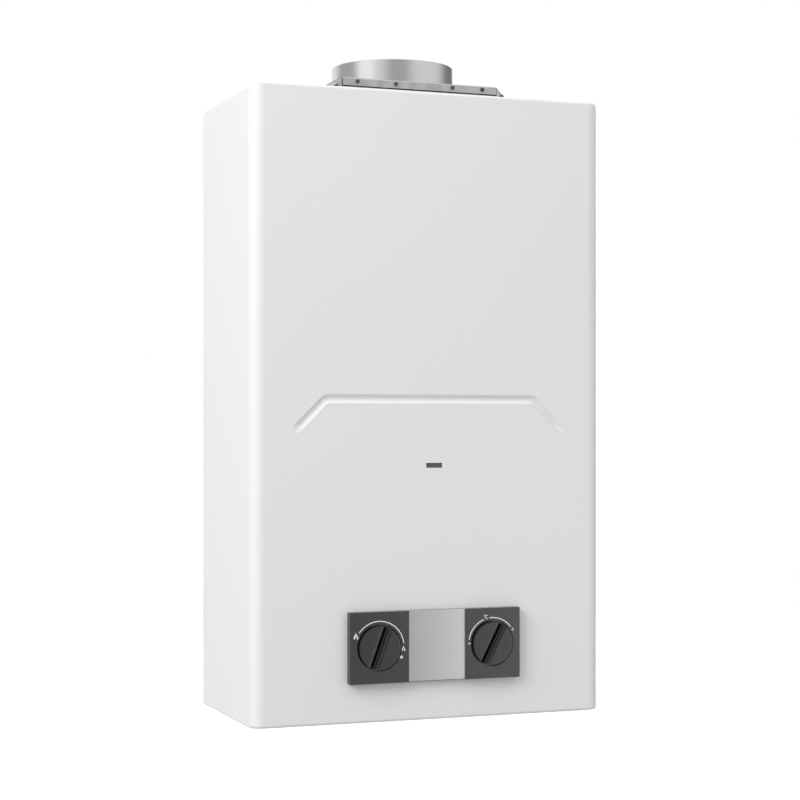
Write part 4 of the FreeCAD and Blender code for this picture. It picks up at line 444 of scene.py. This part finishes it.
def bar(centre, width, height):
    x, z = centre
    across, up = width * MM / 2, height * MM / 2
    corners = [(x - across, z - up), (x - across, z + up), (x + across, z + up), (x + across, z - up)]
    return slab(corners, INK_BACK, INK_FRONT)


def dot(centre, diameter):
    outline = [polar(centre, diameter / 2, -15 * step) for step in range(24)]
    return slab(outline, INK_BACK, INK_FRONT)


def arc(centre, radius, start, end, width=ARC_WIDTH):
    return band(centre, radius * MM, start, end, width * MM, INK_BACK, INK_FRONT)


def dial_marks():
    power = (POWER_X, MARKS_Z)
    warm = (TEMPERATURE_X, MARKS_Z)
    left = [
        flame(polar(power, *HIGH_FLAME), *HIGH_FLAME_SIZE),
        flame(polar(power, *LOW_FLAME), *LOW_FLAME_SIZE),
        dot(polar(power, *OFF_DOT), DOT_ACROSS),
        arc(power, *POWER_ARC),
    ]
    degree = polar(warm, *DEGREE_SIGN)
    letter = shifted(degree, LETTER_SHIFT)
    ring = shifted(degree, RING_SHIFT)
    right = [
        bar(polar(warm, *LESS_MARK), BAR_LENGTH, LESS_WIDTH),
        arc(warm, *LESS_ARC),
        arc(letter, *LETTER_ARC, LETTER_WIDTH),
        arc(ring, *RING_ARC, RING_WIDTH),
        arc(warm, *MORE_ARC),
        bar(polar(warm, *MORE_MARK), BAR_LENGTH, MORE_WIDTH),
        bar(polar(warm, *MORE_MARK), MORE_WIDTH, BAR_LENGTH),
    ]
    build("power_dial_marks", *join(left), PRINT, "heater", "dark_plastic")
    build("temperature_dial_marks", *join(right), PRINT, "heater", "dark_plastic")


# Knobs, in millimetres. From the middle out: the half widths of the ridge's crest, of its root and
# of the two valleys. Then the valleys' depth, the rounding at the rim, the face's height over the
# knob's back, and how far the crest falls at its sides

CREST = 0.35
ROOT = 0.62
VALLEY = 5.4
SCOOP = 3.1
EDGE = 0.8
RISE = 5.2
CROWN = 0.06
REACH = KNOB_RADIUS / MM

# The power of the valleys' slope, and the angles of the two ridges from +X towards +Z

SLOPE = 2.2
POWER_ANGLE = 70.0
TEMPERATURE_ANGLE = 62.6

# Where the face's points stand across the ridge and in from the rim, and how much of a chord between
# those at its rim the others fill

ACROSS = [0.0, 0.12, 0.24, CREST, 0.44, 0.53, ROOT, 0.8, 1.0, 1.25, 1.5, 1.8, 2.1, 2.4, 2.7, 3.0,
          3.3, 3.6, 3.9, 4.2, 4.6, 5.0, VALLEY, 6.3, 7.6, 9.2, 11.0, 12.8, 14.6, 16.4, 17.6]
ACROSS += [REACH - gap for gap in (0.8, 0.62, 0.46, 0.32, 0.2, 0.1, 0.04, 0.004)]
RIM_GAPS = (EDGE, 0.55, 0.34, 0.17, 0.05, 0.0)
INSET = 0.97


def knob_height(across, along):
    """How far the knob's face stands in front of its back."""
    side = abs(across)
    if side <= CREST:
        height = RISE - CROWN * (side / CREST) ** 2
    elif side < ROOT:
        height = RISE - CROWN - (SCOOP - CROWN) * (side - CREST) / (ROOT - CREST)
    else:
        part = min(1.0, (side - ROOT) / (VALLEY - ROOT))
        height = RISE - SCOOP * (1.0 - part) ** SLOPE
    inside = REACH - math.hypot(across, along)
    if inside < EDGE:
        height -= EDGE - math.sqrt(max(0.0, EDGE ** 2 - (EDGE - inside) ** 2))
    return height


def knob(name, x, angle, body, node):
    """A grid of points over the face, a rim straight back from it, and a flat back."""
    columns = [-value for value in reversed(ACROSS[1:])] + ACROSS
    shares = [step / 12 for step in range(-12, 13)]
    points = []
    rows = len(shares) + 2 * len(RIM_GAPS)
    for across in columns:
        chord = math.sqrt(REACH ** 2 - across ** 2)
        ends = [min(gap, chord * 0.4 * gap / EDGE) for gap in RIM_GAPS]
        middle = [share * (chord - ends[0]) * INSET for share in shares]
        along = [-(chord - gap) for gap in reversed(ends)] + middle + [chord - gap for gap in ends]
        for value in along:
            points.append((across, value, knob_height(across, value)))
    faces = []
    last = len(columns) - 1
    for column in range(last):
        for row in range(rows - 1):
            a = column * rows + row
            faces.append((a, a + rows, a + rows + 1, a + 1))
    rim = [column * rows for column in range(last + 1)] + [last * rows + row for row in range(1, rows)]
    rim += [column * rows + rows - 1 for column in range(last - 1, -1, -1)]
    rim += list(range(rows - 2, 0, -1))
    start = len(points)
    points += [(points[index][0], points[index][1], 0.0) for index in rim]
    count = len(rim)
    for step in range(count):
        beside = (step + 1) % count
        faces.append((rim[step], start + step, start + beside, rim[beside]))
    faces.append(tuple(start + step for step in range(count)))
    lean = math.radians(angle - 90)
    placed = []
    for across, along, height in points:
        turned_x = across * math.cos(lean) - along * math.sin(lean)
        turned_z = across * math.sin(lean) + along * math.cos(lean)
        placed.append((x + turned_x * MM, KNOB_BACK - height * MM, CONTROLS_Z + turned_z * MM))
    piece = build(name, placed, faces, FINISHES["knob_plastic"], body, "knob_plastic", sharp=50.0)
    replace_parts(piece, node)


# Screws

STRIP_SCREWS = (-59.5, -23.4, 30.6, 59.5)
WING_SCREWS = (-78.8, 78.8)
STRIP_SCREW_Z = HOOD_TOP - 3.3 * MM
WING_SCREW_Z = 0.035


def cross_head(centre, axis, face, radius, rise, shank, reach):
    """A pan head with a cross recess that faces down its axis, and its shank behind."""
    count = 32
    taper = 0.78
    arm = radius * 0.62
    half = radius * 0.15
    flat = radius * 0.70
    depth = rise * 0.72
    plus = [(arm, -half), (arm, half), (half, half), (half, arm), (-half, arm), (-half, half),
            (-arm, half), (-arm, -half), (-half, -half), (-half, -arm), (half, -arm), (half, -half)]
    arms = len(plus)
    points = [(a, b, rise) for a, b in plus]
    points += [(a * taper, b * taper, rise - depth) for a, b in plus]
    faces = [tuple(range(arms, 2 * arms))]
    for step in range(arms):
        beside = (step + 1) % arms
        faces.append((step, beside, arms + beside, arms + step))
    profile = [(flat, rise), (radius * 0.86, rise * 0.93), (radius * 0.96, rise * 0.72),
               (radius, rise * 0.35), (radius, 0.0), (shank, 0.0), (shank, -reach)]
    start = len(points)
    for distance, height in profile:
        for step in range(count):
            angle = 2 * math.pi * (step + 0.5) / count
            points.append((distance * math.cos(angle), distance * math.sin(angle), height))
    for row in range(len(profile) - 1):
        for step in range(count):
            beside = (step + 1) % count
            a = start + row * count
            faces.append((a + step, a + count + step, a + count + beside, a + beside))
    end = start + (len(profile) - 1) * count
    faces.append(tuple(end + step for step in reversed(range(count))))

    def nearest(step):
        angle = 2 * math.pi * (step + 0.5) / count
        gaps = [math.atan2(b, a) - angle for a, b in plus]
        turns = [abs(math.atan2(math.sin(gap), math.cos(gap))) for gap in gaps]
        return turns.index(min(turns))

    for step in range(count):
        beside = start + (step + 1) % count
        walk = nearest(step)
        after = nearest(step + 1)
        faces.append((start + step, beside, walk))
        while walk != after:
            onward = (walk + 1) % arms
            faces.append((beside, onward, walk))
            walk = onward
    placed = []
    for a, b, height in points:
        if axis == "y":
            placed.append((centre[0] + a, face - height, centre[1] + b))
        else:
            placed.append((centre[0] + a, centre[1] + b, face - height))
    return placed, faces


def screws():
    rise = 0.8 * MM
    shank = 1.3 * MM
    heads = [cross_head((x * MM, STRIP_SCREW_Z), "y", HOOD_FRONT, 2.0 * MM, rise, shank, 2.4 * MM)
             for x in STRIP_SCREWS]
    wing = HOOD_FRONT + rise
    heads += [cross_head((x * MM, WING_SCREW_Z), "y", wing, 2.2 * MM, rise, shank, 1.6 * MM)
              for x in WING_SCREWS]
    piece = build("hood_screw_heads", *join(heads), BLACKENED, "heater", "steel")
    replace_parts(piece, "hood_screws")
    low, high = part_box("casing_screws")
    y = (low[1] + high[1]) / 2
    radius = 3.6 * MM
    heads = [cross_head((x, y), "z", BOTTOM, radius, 1.8 * MM, 1.9 * MM, 8.0 * MM)
             for x in (low[0] + radius, high[0] - radius)]
    piece = build("casing_screw_heads", *join(heads), FINISHES["steel"], "heater", "steel")
    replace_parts(piece, "casing_screws")


# Painted shadow: dark rubber beads put in the seam below and beside the folded strip, where there is
# only the shade under the strip's edge

STRIP_LOW = HOOD_TOP - 7.0 * MM
STRIP_END = 73.2 * MM
SEAM = 0.9 * MM
BEAD_BACK = HOOD_FRONT + 0.75 * MM
BEAD_FRONT = HOOD_FRONT + 0.8 * MM - 0.45 * MM
BEAD_LIP = 0.12 * MM


def bead(x, z):
    """A flat dark bead on the hood's front, between two stations each way, standing in for shade."""
    (left, right), (low, high) = x, z
    points = [(left, BEAD_BACK, low), (right, BEAD_BACK, low),
              (right, BEAD_BACK, high), (left, BEAD_BACK, high),
              (left + BEAD_LIP, BEAD_FRONT, low + BEAD_LIP),
              (right - BEAD_LIP, BEAD_FRONT, low + BEAD_LIP),
              (right - BEAD_LIP, BEAD_FRONT, high - BEAD_LIP),
              (left + BEAD_LIP, BEAD_FRONT, high - BEAD_LIP)]
    faces = [(4, 5, 6, 7), (0, 1, 5, 4), (1, 2, 6, 5), (2, 3, 7, 6), (3, 0, 4, 7), (3, 2, 1, 0)]
    return points, faces


def painted_seam_shadow():
    # Dark beads for the shade along the strip's lower edge and up its ends: painted shadow
    beads = [bead((-STRIP_END, STRIP_END), (STRIP_LOW - SEAM, STRIP_LOW + 0.1 * MM))]
    for sign in (-1, 1):
        ends = sorted((sign * (STRIP_END + 0.1 * MM), sign * (STRIP_END + 0.6 * MM)))
        beads.append(bead(ends, (STRIP_LOW - SEAM, HOOD_TOP - 1.0 * MM)))
    build("strip_painted_shadow", *join(beads), FINISHES["rubber"], "heater", "rubber")


# Flue collar: its flange out from the bore, the fillet and wall above it, and the lip's outer and
# inner corner, each as millimetres out and up from the edge there

FLANGE = [(0.0, 0.0), (2.4, 0.0), (2.5, 0.2), (2.5, 0.5), (2.35, 0.7)]
FILLET = [(0.8, 0.72), (0.35, 0.9), (0.08, 1.3), (0.0, 1.9), (0.0, 8.0), (0.0, 16.0)]
LIP_OUTER = [(0.0, -1.3), (0.0, -0.3), (-0.1, -0.08), (-0.3, 0.0)]
LIP_INNER = [(0.3, 0.0), (0.08, -0.1), (0.0, -0.3)]
BORE_MIDDLE = [(0.0, 8.0)]


def collar():
    profile = []
    for radius, z, corners in ((COLLAR_BORE, HOOD_TOP, FLANGE), (COLLAR_OUT, HOOD_TOP, FILLET),
                               (COLLAR_OUT, COLLAR_TOP, LIP_OUTER), (COLLAR_BORE, COLLAR_TOP, LIP_INNER),
                               (COLLAR_BORE, HOOD_TOP, BORE_MIDDLE)):
        profile += [(radius + out * MM, z + up * MM) for out, up in corners]
    count = 160
    points = []
    for radius, z in reversed(profile):
        for step in range(count):
            angle = 2 * math.pi * step / count
            points.append((radius * math.cos(angle), COLLAR_Y + radius * math.sin(angle), z))
    faces = ring_faces(len(profile), count)
    piece = build("spun_flue_collar", points, faces, FINISHES["collar_metal"], "heater", "collar_metal")
    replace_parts(piece, "flue_collar")


# Pipe ends with a cut thread below the nut

PITCH = 1.814 * MM
THREAD_DEPTH = 1.0 * MM
THREAD_LEAD = 1.2 * MM
CHAMFER = 0.5 * MM
PORT_SHOULDER = NECK_TOP - 8.0 * MM
HOT_SHOULDER = NECK_TOP - 6.0 * MM
HOT_BORE = 5.0 * MM


def thread_radius(angle, z):
    """The distance out to a rounded thread, with a lead at its lower end."""
    turn = (z - PORT_LOW) / PITCH - angle / (2 * math.pi)
    root = 0.5 + 0.5 * math.cos(2 * math.pi * turn)
    lead = THREAD_OUT - THREAD_LEAD + (z - PORT_LOW)
    return min(THREAD_OUT - THREAD_DEPTH * root ** 0.8, lead)


def pipe_end(name, node, x, throat, shoulder):
    """A threaded end and its neck round a bore, whose upper part is the throat."""
    count = 64
    steps = 75
    rows = [[(thread_radius(2 * math.pi * turn / count, z), z) for turn in range(count)]
            for z in (PORT_LOW + (NUT_LOW - PORT_LOW) * step / steps for step in range(steps + 1))]
    inside = [(NECK_OUT, NUT_LOW), (NECK_OUT, NECK_TOP), (throat, NECK_TOP), (throat, shoulder),
              (PORT_BORE, shoulder), (PORT_BORE, PORT_LOW + CHAMFER), (PORT_BORE + CHAMFER, PORT_LOW)]
    rows += [[place] * count for place in inside]
    points = []
    for row in rows:
        for turn, (radius, z) in enumerate(row):
            angle = 2 * math.pi * turn / count
            points.append((x + radius * math.cos(angle), PORT_Y + radius * math.sin(angle), z))
    faces = ring_faces(len(rows), count)
    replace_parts(build(name, points, faces, FINISHES["brass"], "heater", "brass"), node)


# The pressed groove, whose soft section dies out at the ends of its legs

GROOVE_Z = -0.239
GROOVE_HALF = 0.0977
GROOVE_LEG = 0.0266
GROOVE_BEND = 0.008
LEG_ANGLE = 45.0
GROOVE_REACH = 4.1 * MM
GROOVE_DEPTH = 1.55 * MM
GROOVE_FADE = 12.0 * MM
GROOVE_EDGE = 4.7 * MM
GROOVE_PROUD = 0.03 * MM
GROOVE_PAST = 4.8 * MM


def groove_path():
    """Stations from the left leg's end to the right one's: x, z and the fall there."""
    fall = GROOVE_LEG + GROOVE_PAST * math.sqrt(0.5)
    half = GROOVE_HALF
    turn = GROOVE_BEND * math.tan(math.radians(LEG_ANGLE / 2))
    right = [(step / 30 * (half - turn), GROOVE_Z, 0.0) for step in range(30)]
    for step in range(13):
        angle = math.radians(LEG_ANGLE * step / 12)
        right.append((half - turn + GROOVE_BEND * math.sin(angle),
                      GROOVE_Z - GROOVE_BEND * (1 - math.cos(angle)), angle))
    start = turn * math.sqrt(0.5)
    for step in range(1, 41):
        along = start + (fall - start) * step / 40
        right.append((half + along, GROOVE_Z - along, math.radians(LEG_ANGLE)))
    left = [(-x, z, -angle) for x, z, angle in right[:0:-1]]
    return left + right


def groove():
    path = groove_path()
    shares = [step / 16 for step in range(-16, 17)]
    first, last = path[0], path[-1]
    points = []
    for x, z, angle in path:
        left = math.hypot(x - first[0], z - first[1])
        right = math.hypot(x - last[0], z - last[1])
        fade = min(1.0, min(left, right) / GROOVE_FADE)
        fade = fade * fade * (3 - 2 * fade)
        for share in shares:
            across = share * GROOVE_EDGE
            inside = max(0.0, 1.0 - (across / GROOVE_REACH) ** 2)
            y = FRONT - GROOVE_PROUD + GROOVE_DEPTH * fade * inside ** 1.6
            points.append((x + across * math.sin(angle), y, z + across * math.cos(angle)))
    count = len(shares)
    corners = [row * count + column for row in range(len(path) - 1) for column in range(count - 1)]
    faces = [(a, a + count, a + count + 1, a + 1) for a in corners]
    build("pressed_groove", points, faces, FINISHES["white_enamel"], "heater", "white_enamel",
          sharp=80.0)


dial_marks()
groove()
pipe_end("gas_pipe_end", "gas_inlet_nipple", GAS_X, PORT_BORE, PORT_SHOULDER)
pipe_end("cold_pipe_end", "cold_inlet_nipple", COLD_X, PORT_BORE, PORT_SHOULDER)
pipe_end("hot_pipe_end", "hot_outlet_nipple", HOT_X, HOT_BORE, HOT_SHOULDER)
knob("power_knob_cap", POWER_X, POWER_ANGLE, "power_control", "power_knob")
knob("temperature_knob_cap", TEMPERATURE_X, TEMPERATURE_ANGLE, "temperature_control",
     "temperature_knob")
screws()
painted_seam_shadow()
collar()


# Rounded edges on sheet, moulded and cast pieces: a width in millimetres, its steps and the nodes

SOFT_EDGES = [
    (0.30, 3, ["hood_top_plate", "hood_front_panel"]),
    (0.15, 2, ["control_panel", "panel_centre_plate"]),
    (0.50, 3, ["connection_nuts", "feed_nut", "drain_plug"]),
    (0.80, 3, ["gas_valve_body", "gas_valve_cap", "water_valve_body", "water_valve_cover"]),
    (0.40, 2, ["battery_box", "battery_lid", "ignition_box", "microswitch"]),
]
for width, segments, names in SOFT_EDGES:
    for name in names:
        bevel = nodes[name].modifiers.new("edges", "BEVEL")
        bevel.width = width * MM
        bevel.segments = segments
        bevel.limit_method = "ANGLE"
        bevel.angle_limit = math.radians(35.0)
        bevel.harden_normals = True

# Camera and floor. The backdrop has one level for what a camera or gloss looks at, and one for the
# light that it gives to other surfaces

CAMERA_PLACE = (-0.61365, -1.725, -0.2617)
CAMERA_TURN = -20.54
LENS = 85.93
SENSOR = 36.0
SHIFT = 0.03125
FLOOR_Z = -2.15
FLOOR_HALF = 15.0
FLOOR_GLOW = 0.72
BACKDROP_SEEN = 1.0
BACKDROP_LIGHT = 0.68

camera_data = bpy.data.cameras.new("camera")
camera_data.lens = LENS
camera_data.sensor_width = SENSOR
camera_data.shift_y = SHIFT
camera = bpy.data.objects.new("camera", camera_data)
camera.location = CAMERA_PLACE
camera.rotation_euler = (math.radians(90), 0.0, math.radians(CAMERA_TURN))
scene.collection.objects.link(camera)
scene.camera = camera


def staged(name, points, faces, material):
    mesh = bpy.data.meshes.new(name)
    mesh.from_pydata(points, [], faces)
    mesh.materials.append(material)
    piece = bpy.data.objects.new(name, mesh)
    scene.collection.objects.link(piece)
    return piece


def seen(tree):
    """One for what a camera, gloss or glass looks at, and nothing for the light on other surfaces."""
    paths = tree.nodes.new("ShaderNodeLightPath")
    value = paths.outputs["Is Camera Ray"]
    for ray in ("Is Glossy Ray", "Is Transmission Ray"):
        most = tree.nodes.new("ShaderNodeMath")
        most.operation = "MAXIMUM"
        tree.links.new(value, most.inputs[0])
        tree.links.new(paths.outputs[ray], most.inputs[1])
        value = most.outputs["Value"]
    return value


def floor_material():
    made = Finish("studio_floor", 0.50, rough=0.6)
    made.colour(made.blend(made.noise(2.0), 0.49, 0.51))
    made.rough(made.spread(made.noise(8.0), 0.55, 0.65))
    made.put("Emission Color", grey(1.0))
    glow = made.node("ShaderNodeMath", operation="MULTIPLY")
    glow.inputs[1].default_value = FLOOR_GLOW
    made.link(seen(made.tree), glow.inputs[0])
    made.link(glow.outputs["Value"], made.shader.inputs["Emission Strength"])
    return made.material


def floor():
    half = FLOOR_HALF
    corners = [(-half, 0, -half), (half, 0, -half), (half, 0, half), (-half, 0, half)]
    piece = staged("studio_floor", corners, [(0, 1, 2, 3)], floor_material())
    piece.location = (0.0, 0.0, FLOOR_Z)
    piece.rotation_euler = (math.radians(90), 0.0, 0.0)


# The screen round the heater: its level, what is added behind the heater and from which azimuths,
# and each window's azimuth from -Y towards +X, half width, softness and strength

SCREEN_RADIUS = 3.2
SCREEN_ENDS = (-1.9, 2.4)
SCREEN_LEVEL = 0.38
BEHIND_LEVEL = 0.46
BEHIND_FROM = (128.0, 164.0)
WINDOWS = [(-71.0, 18.0, 12.0, 0.56), (-42.0, 12.0, 12.0, 0.28), (48.0, 34.0, 14.0, 0.27),
           (118.0, 22.0, 14.0, -0.20)]

# One more window is low: the azimuths where it starts and ends, and the heights of its soft edges

LOW_START = (17.0, 28.0)
LOW_END = (60.0, 80.0)
LOW_TOP = (-0.45, 0.15)
LOW_FOOT = (-1.25, -0.55)
LOW_LEAST = 0.30
LOW_STRENGTH = 0.95


def surround():
    """A round grey screen that only gloss sees, with soft lit windows in it."""
    glow = bpy.data.materials.new("studio_surround")
    glow.use_nodes = True
    tree = glow.node_tree
    tree.nodes.clear()
    where = tree.nodes.new("ShaderNodeTexCoord")
    apart = tree.nodes.new("ShaderNodeSeparateXYZ")
    tree.links.new(where.outputs["Object"], apart.inputs["Vector"])

    def maths(operation, *inputs):
        made = tree.nodes.new("ShaderNodeMath")
        made.operation = operation
        for index, value in enumerate(inputs):
            if isinstance(value, (int, float)):
                made.inputs[index].default_value = value
            else:
                tree.links.new(value, made.inputs[index])
        return made.outputs["Value"]

    def ease(value, low, high):
        made = tree.nodes.new("ShaderNodeMapRange")
        made.interpolation_type = "SMOOTHSTEP"
        made.inputs["From Min"].default_value = low
        made.inputs["From Max"].default_value = high
        tree.links.new(value, made.inputs["Value"])
        return made.outputs["Result"]

    behind = maths("MULTIPLY", apart.outputs["Y"], -1.0)
    azimuth = maths("MULTIPLY", maths("ARCTAN2", apart.outputs["X"], behind), 180.0 / math.pi)
    level = ease(maths("ABSOLUTE", azimuth), *BEHIND_FROM)
    level = maths("ADD", maths("MULTIPLY", level, BEHIND_LEVEL), SCREEN_LEVEL)
    for centre, half, soft, strength in WINDOWS:
        away = maths("ABSOLUTE", maths("SUBTRACT", azimuth, centre))
        lit = maths("SUBTRACT", 1.0, ease(away, half - soft, half + soft))
        level = maths("ADD", level, maths("MULTIPLY", lit, strength))
    low = maths("SUBTRACT", 1.0, ease(apart.outputs["Z"], *LOW_TOP))
    side = maths("MULTIPLY", ease(azimuth, *LOW_START), maths("SUBTRACT", 1.0, ease(azimuth, *LOW_END)))
    rise = maths("ADD", ease(apart.outputs["Z"], *LOW_FOOT), LOW_LEAST)
    added = maths("MULTIPLY", maths("MULTIPLY", low, side), maths("MULTIPLY", rise, LOW_STRENGTH))
    level = maths("ADD", level, added)
    emission = tree.nodes.new("ShaderNodeEmission")
    tree.links.new(level, emission.inputs["Strength"])
    output = tree.nodes.new("ShaderNodeOutputMaterial")
    tree.links.new(emission.outputs["Emission"], output.inputs["Surface"])
    count = 72
    points = []
    for z in SCREEN_ENDS:
        for step in range(count):
            angle = 2 * math.pi * step / count
            points.append((SCREEN_RADIUS * math.cos(angle), SCREEN_RADIUS * math.sin(angle), z))
    faces = [(step, (step + 1) % count, count + (step + 1) % count, count + step)
             for step in range(count)]
    piece = staged("studio_surround", points, faces, glow)
    piece.visible_camera = False
    piece.visible_diffuse = False
    piece.visible_transmission = False
    piece.visible_shadow = False


# Each lamp: azimuth from -Y towards +X, distance, height, two sides, and the light that it gives
# at the point aimed at, where 1 is plain

AIM = (0.0, -0.09, -0.22)
LAMPS = [
    ("key_softbox", -61.5, 2.2, 0.95, 1.5, 1.5, 0.72),
    ("top_softbox", 20.0, 1.0, 1.7, 1.2, 1.2, 0.16),
    ("side_softbox", 98.0, 2.6, 0.30, 1.2, 1.8, 0.18),
]


def lamp(name, azimuth, distance, height, across, up, level):
    """A soft area lamp aimed at the heater."""
    angle = math.radians(azimuth)
    place = Vector((distance * math.sin(angle), AIM[1] - distance * math.cos(angle), height))
    toward = Vector(AIM) - place
    data = bpy.data.lights.new(name, "AREA")
    data.shape = "RECTANGLE"
    data.size = across
    data.size_y = up
    data.energy = level * math.pi * toward.length_squared * math.pi
    piece = bpy.data.objects.new(name, data)
    piece.location = place
    piece.rotation_euler = toward.to_track_quat("-Z", "Y").to_euler()
    piece.visible_camera = False
    piece.visible_glossy = False
    scene.collection.objects.link(piece)


floor()
surround()
for settings in LAMPS:
    lamp(*settings)

world = bpy.data.worlds.new("studio")
world.use_nodes = True
scene.world = world
tree = world.node_tree
tree.nodes.clear()
level = tree.nodes.new("ShaderNodeMapRange")
level.inputs["To Min"].default_value = BACKDROP_LIGHT
level.inputs["To Max"].default_value = BACKDROP_SEEN
tree.links.new(seen(tree), level.inputs["Value"])
backdrop = tree.nodes.new("ShaderNodeBackground")
backdrop.inputs["Color"].default_value = grey(1.0)
tree.links.new(level.outputs["Result"], backdrop.inputs["Strength"])
world_output = tree.nodes.new("ShaderNodeOutputWorld")
tree.links.new(backdrop.outputs["Background"], world_output.inputs["Surface"])

scene.view_settings.view_transform = "Standard"
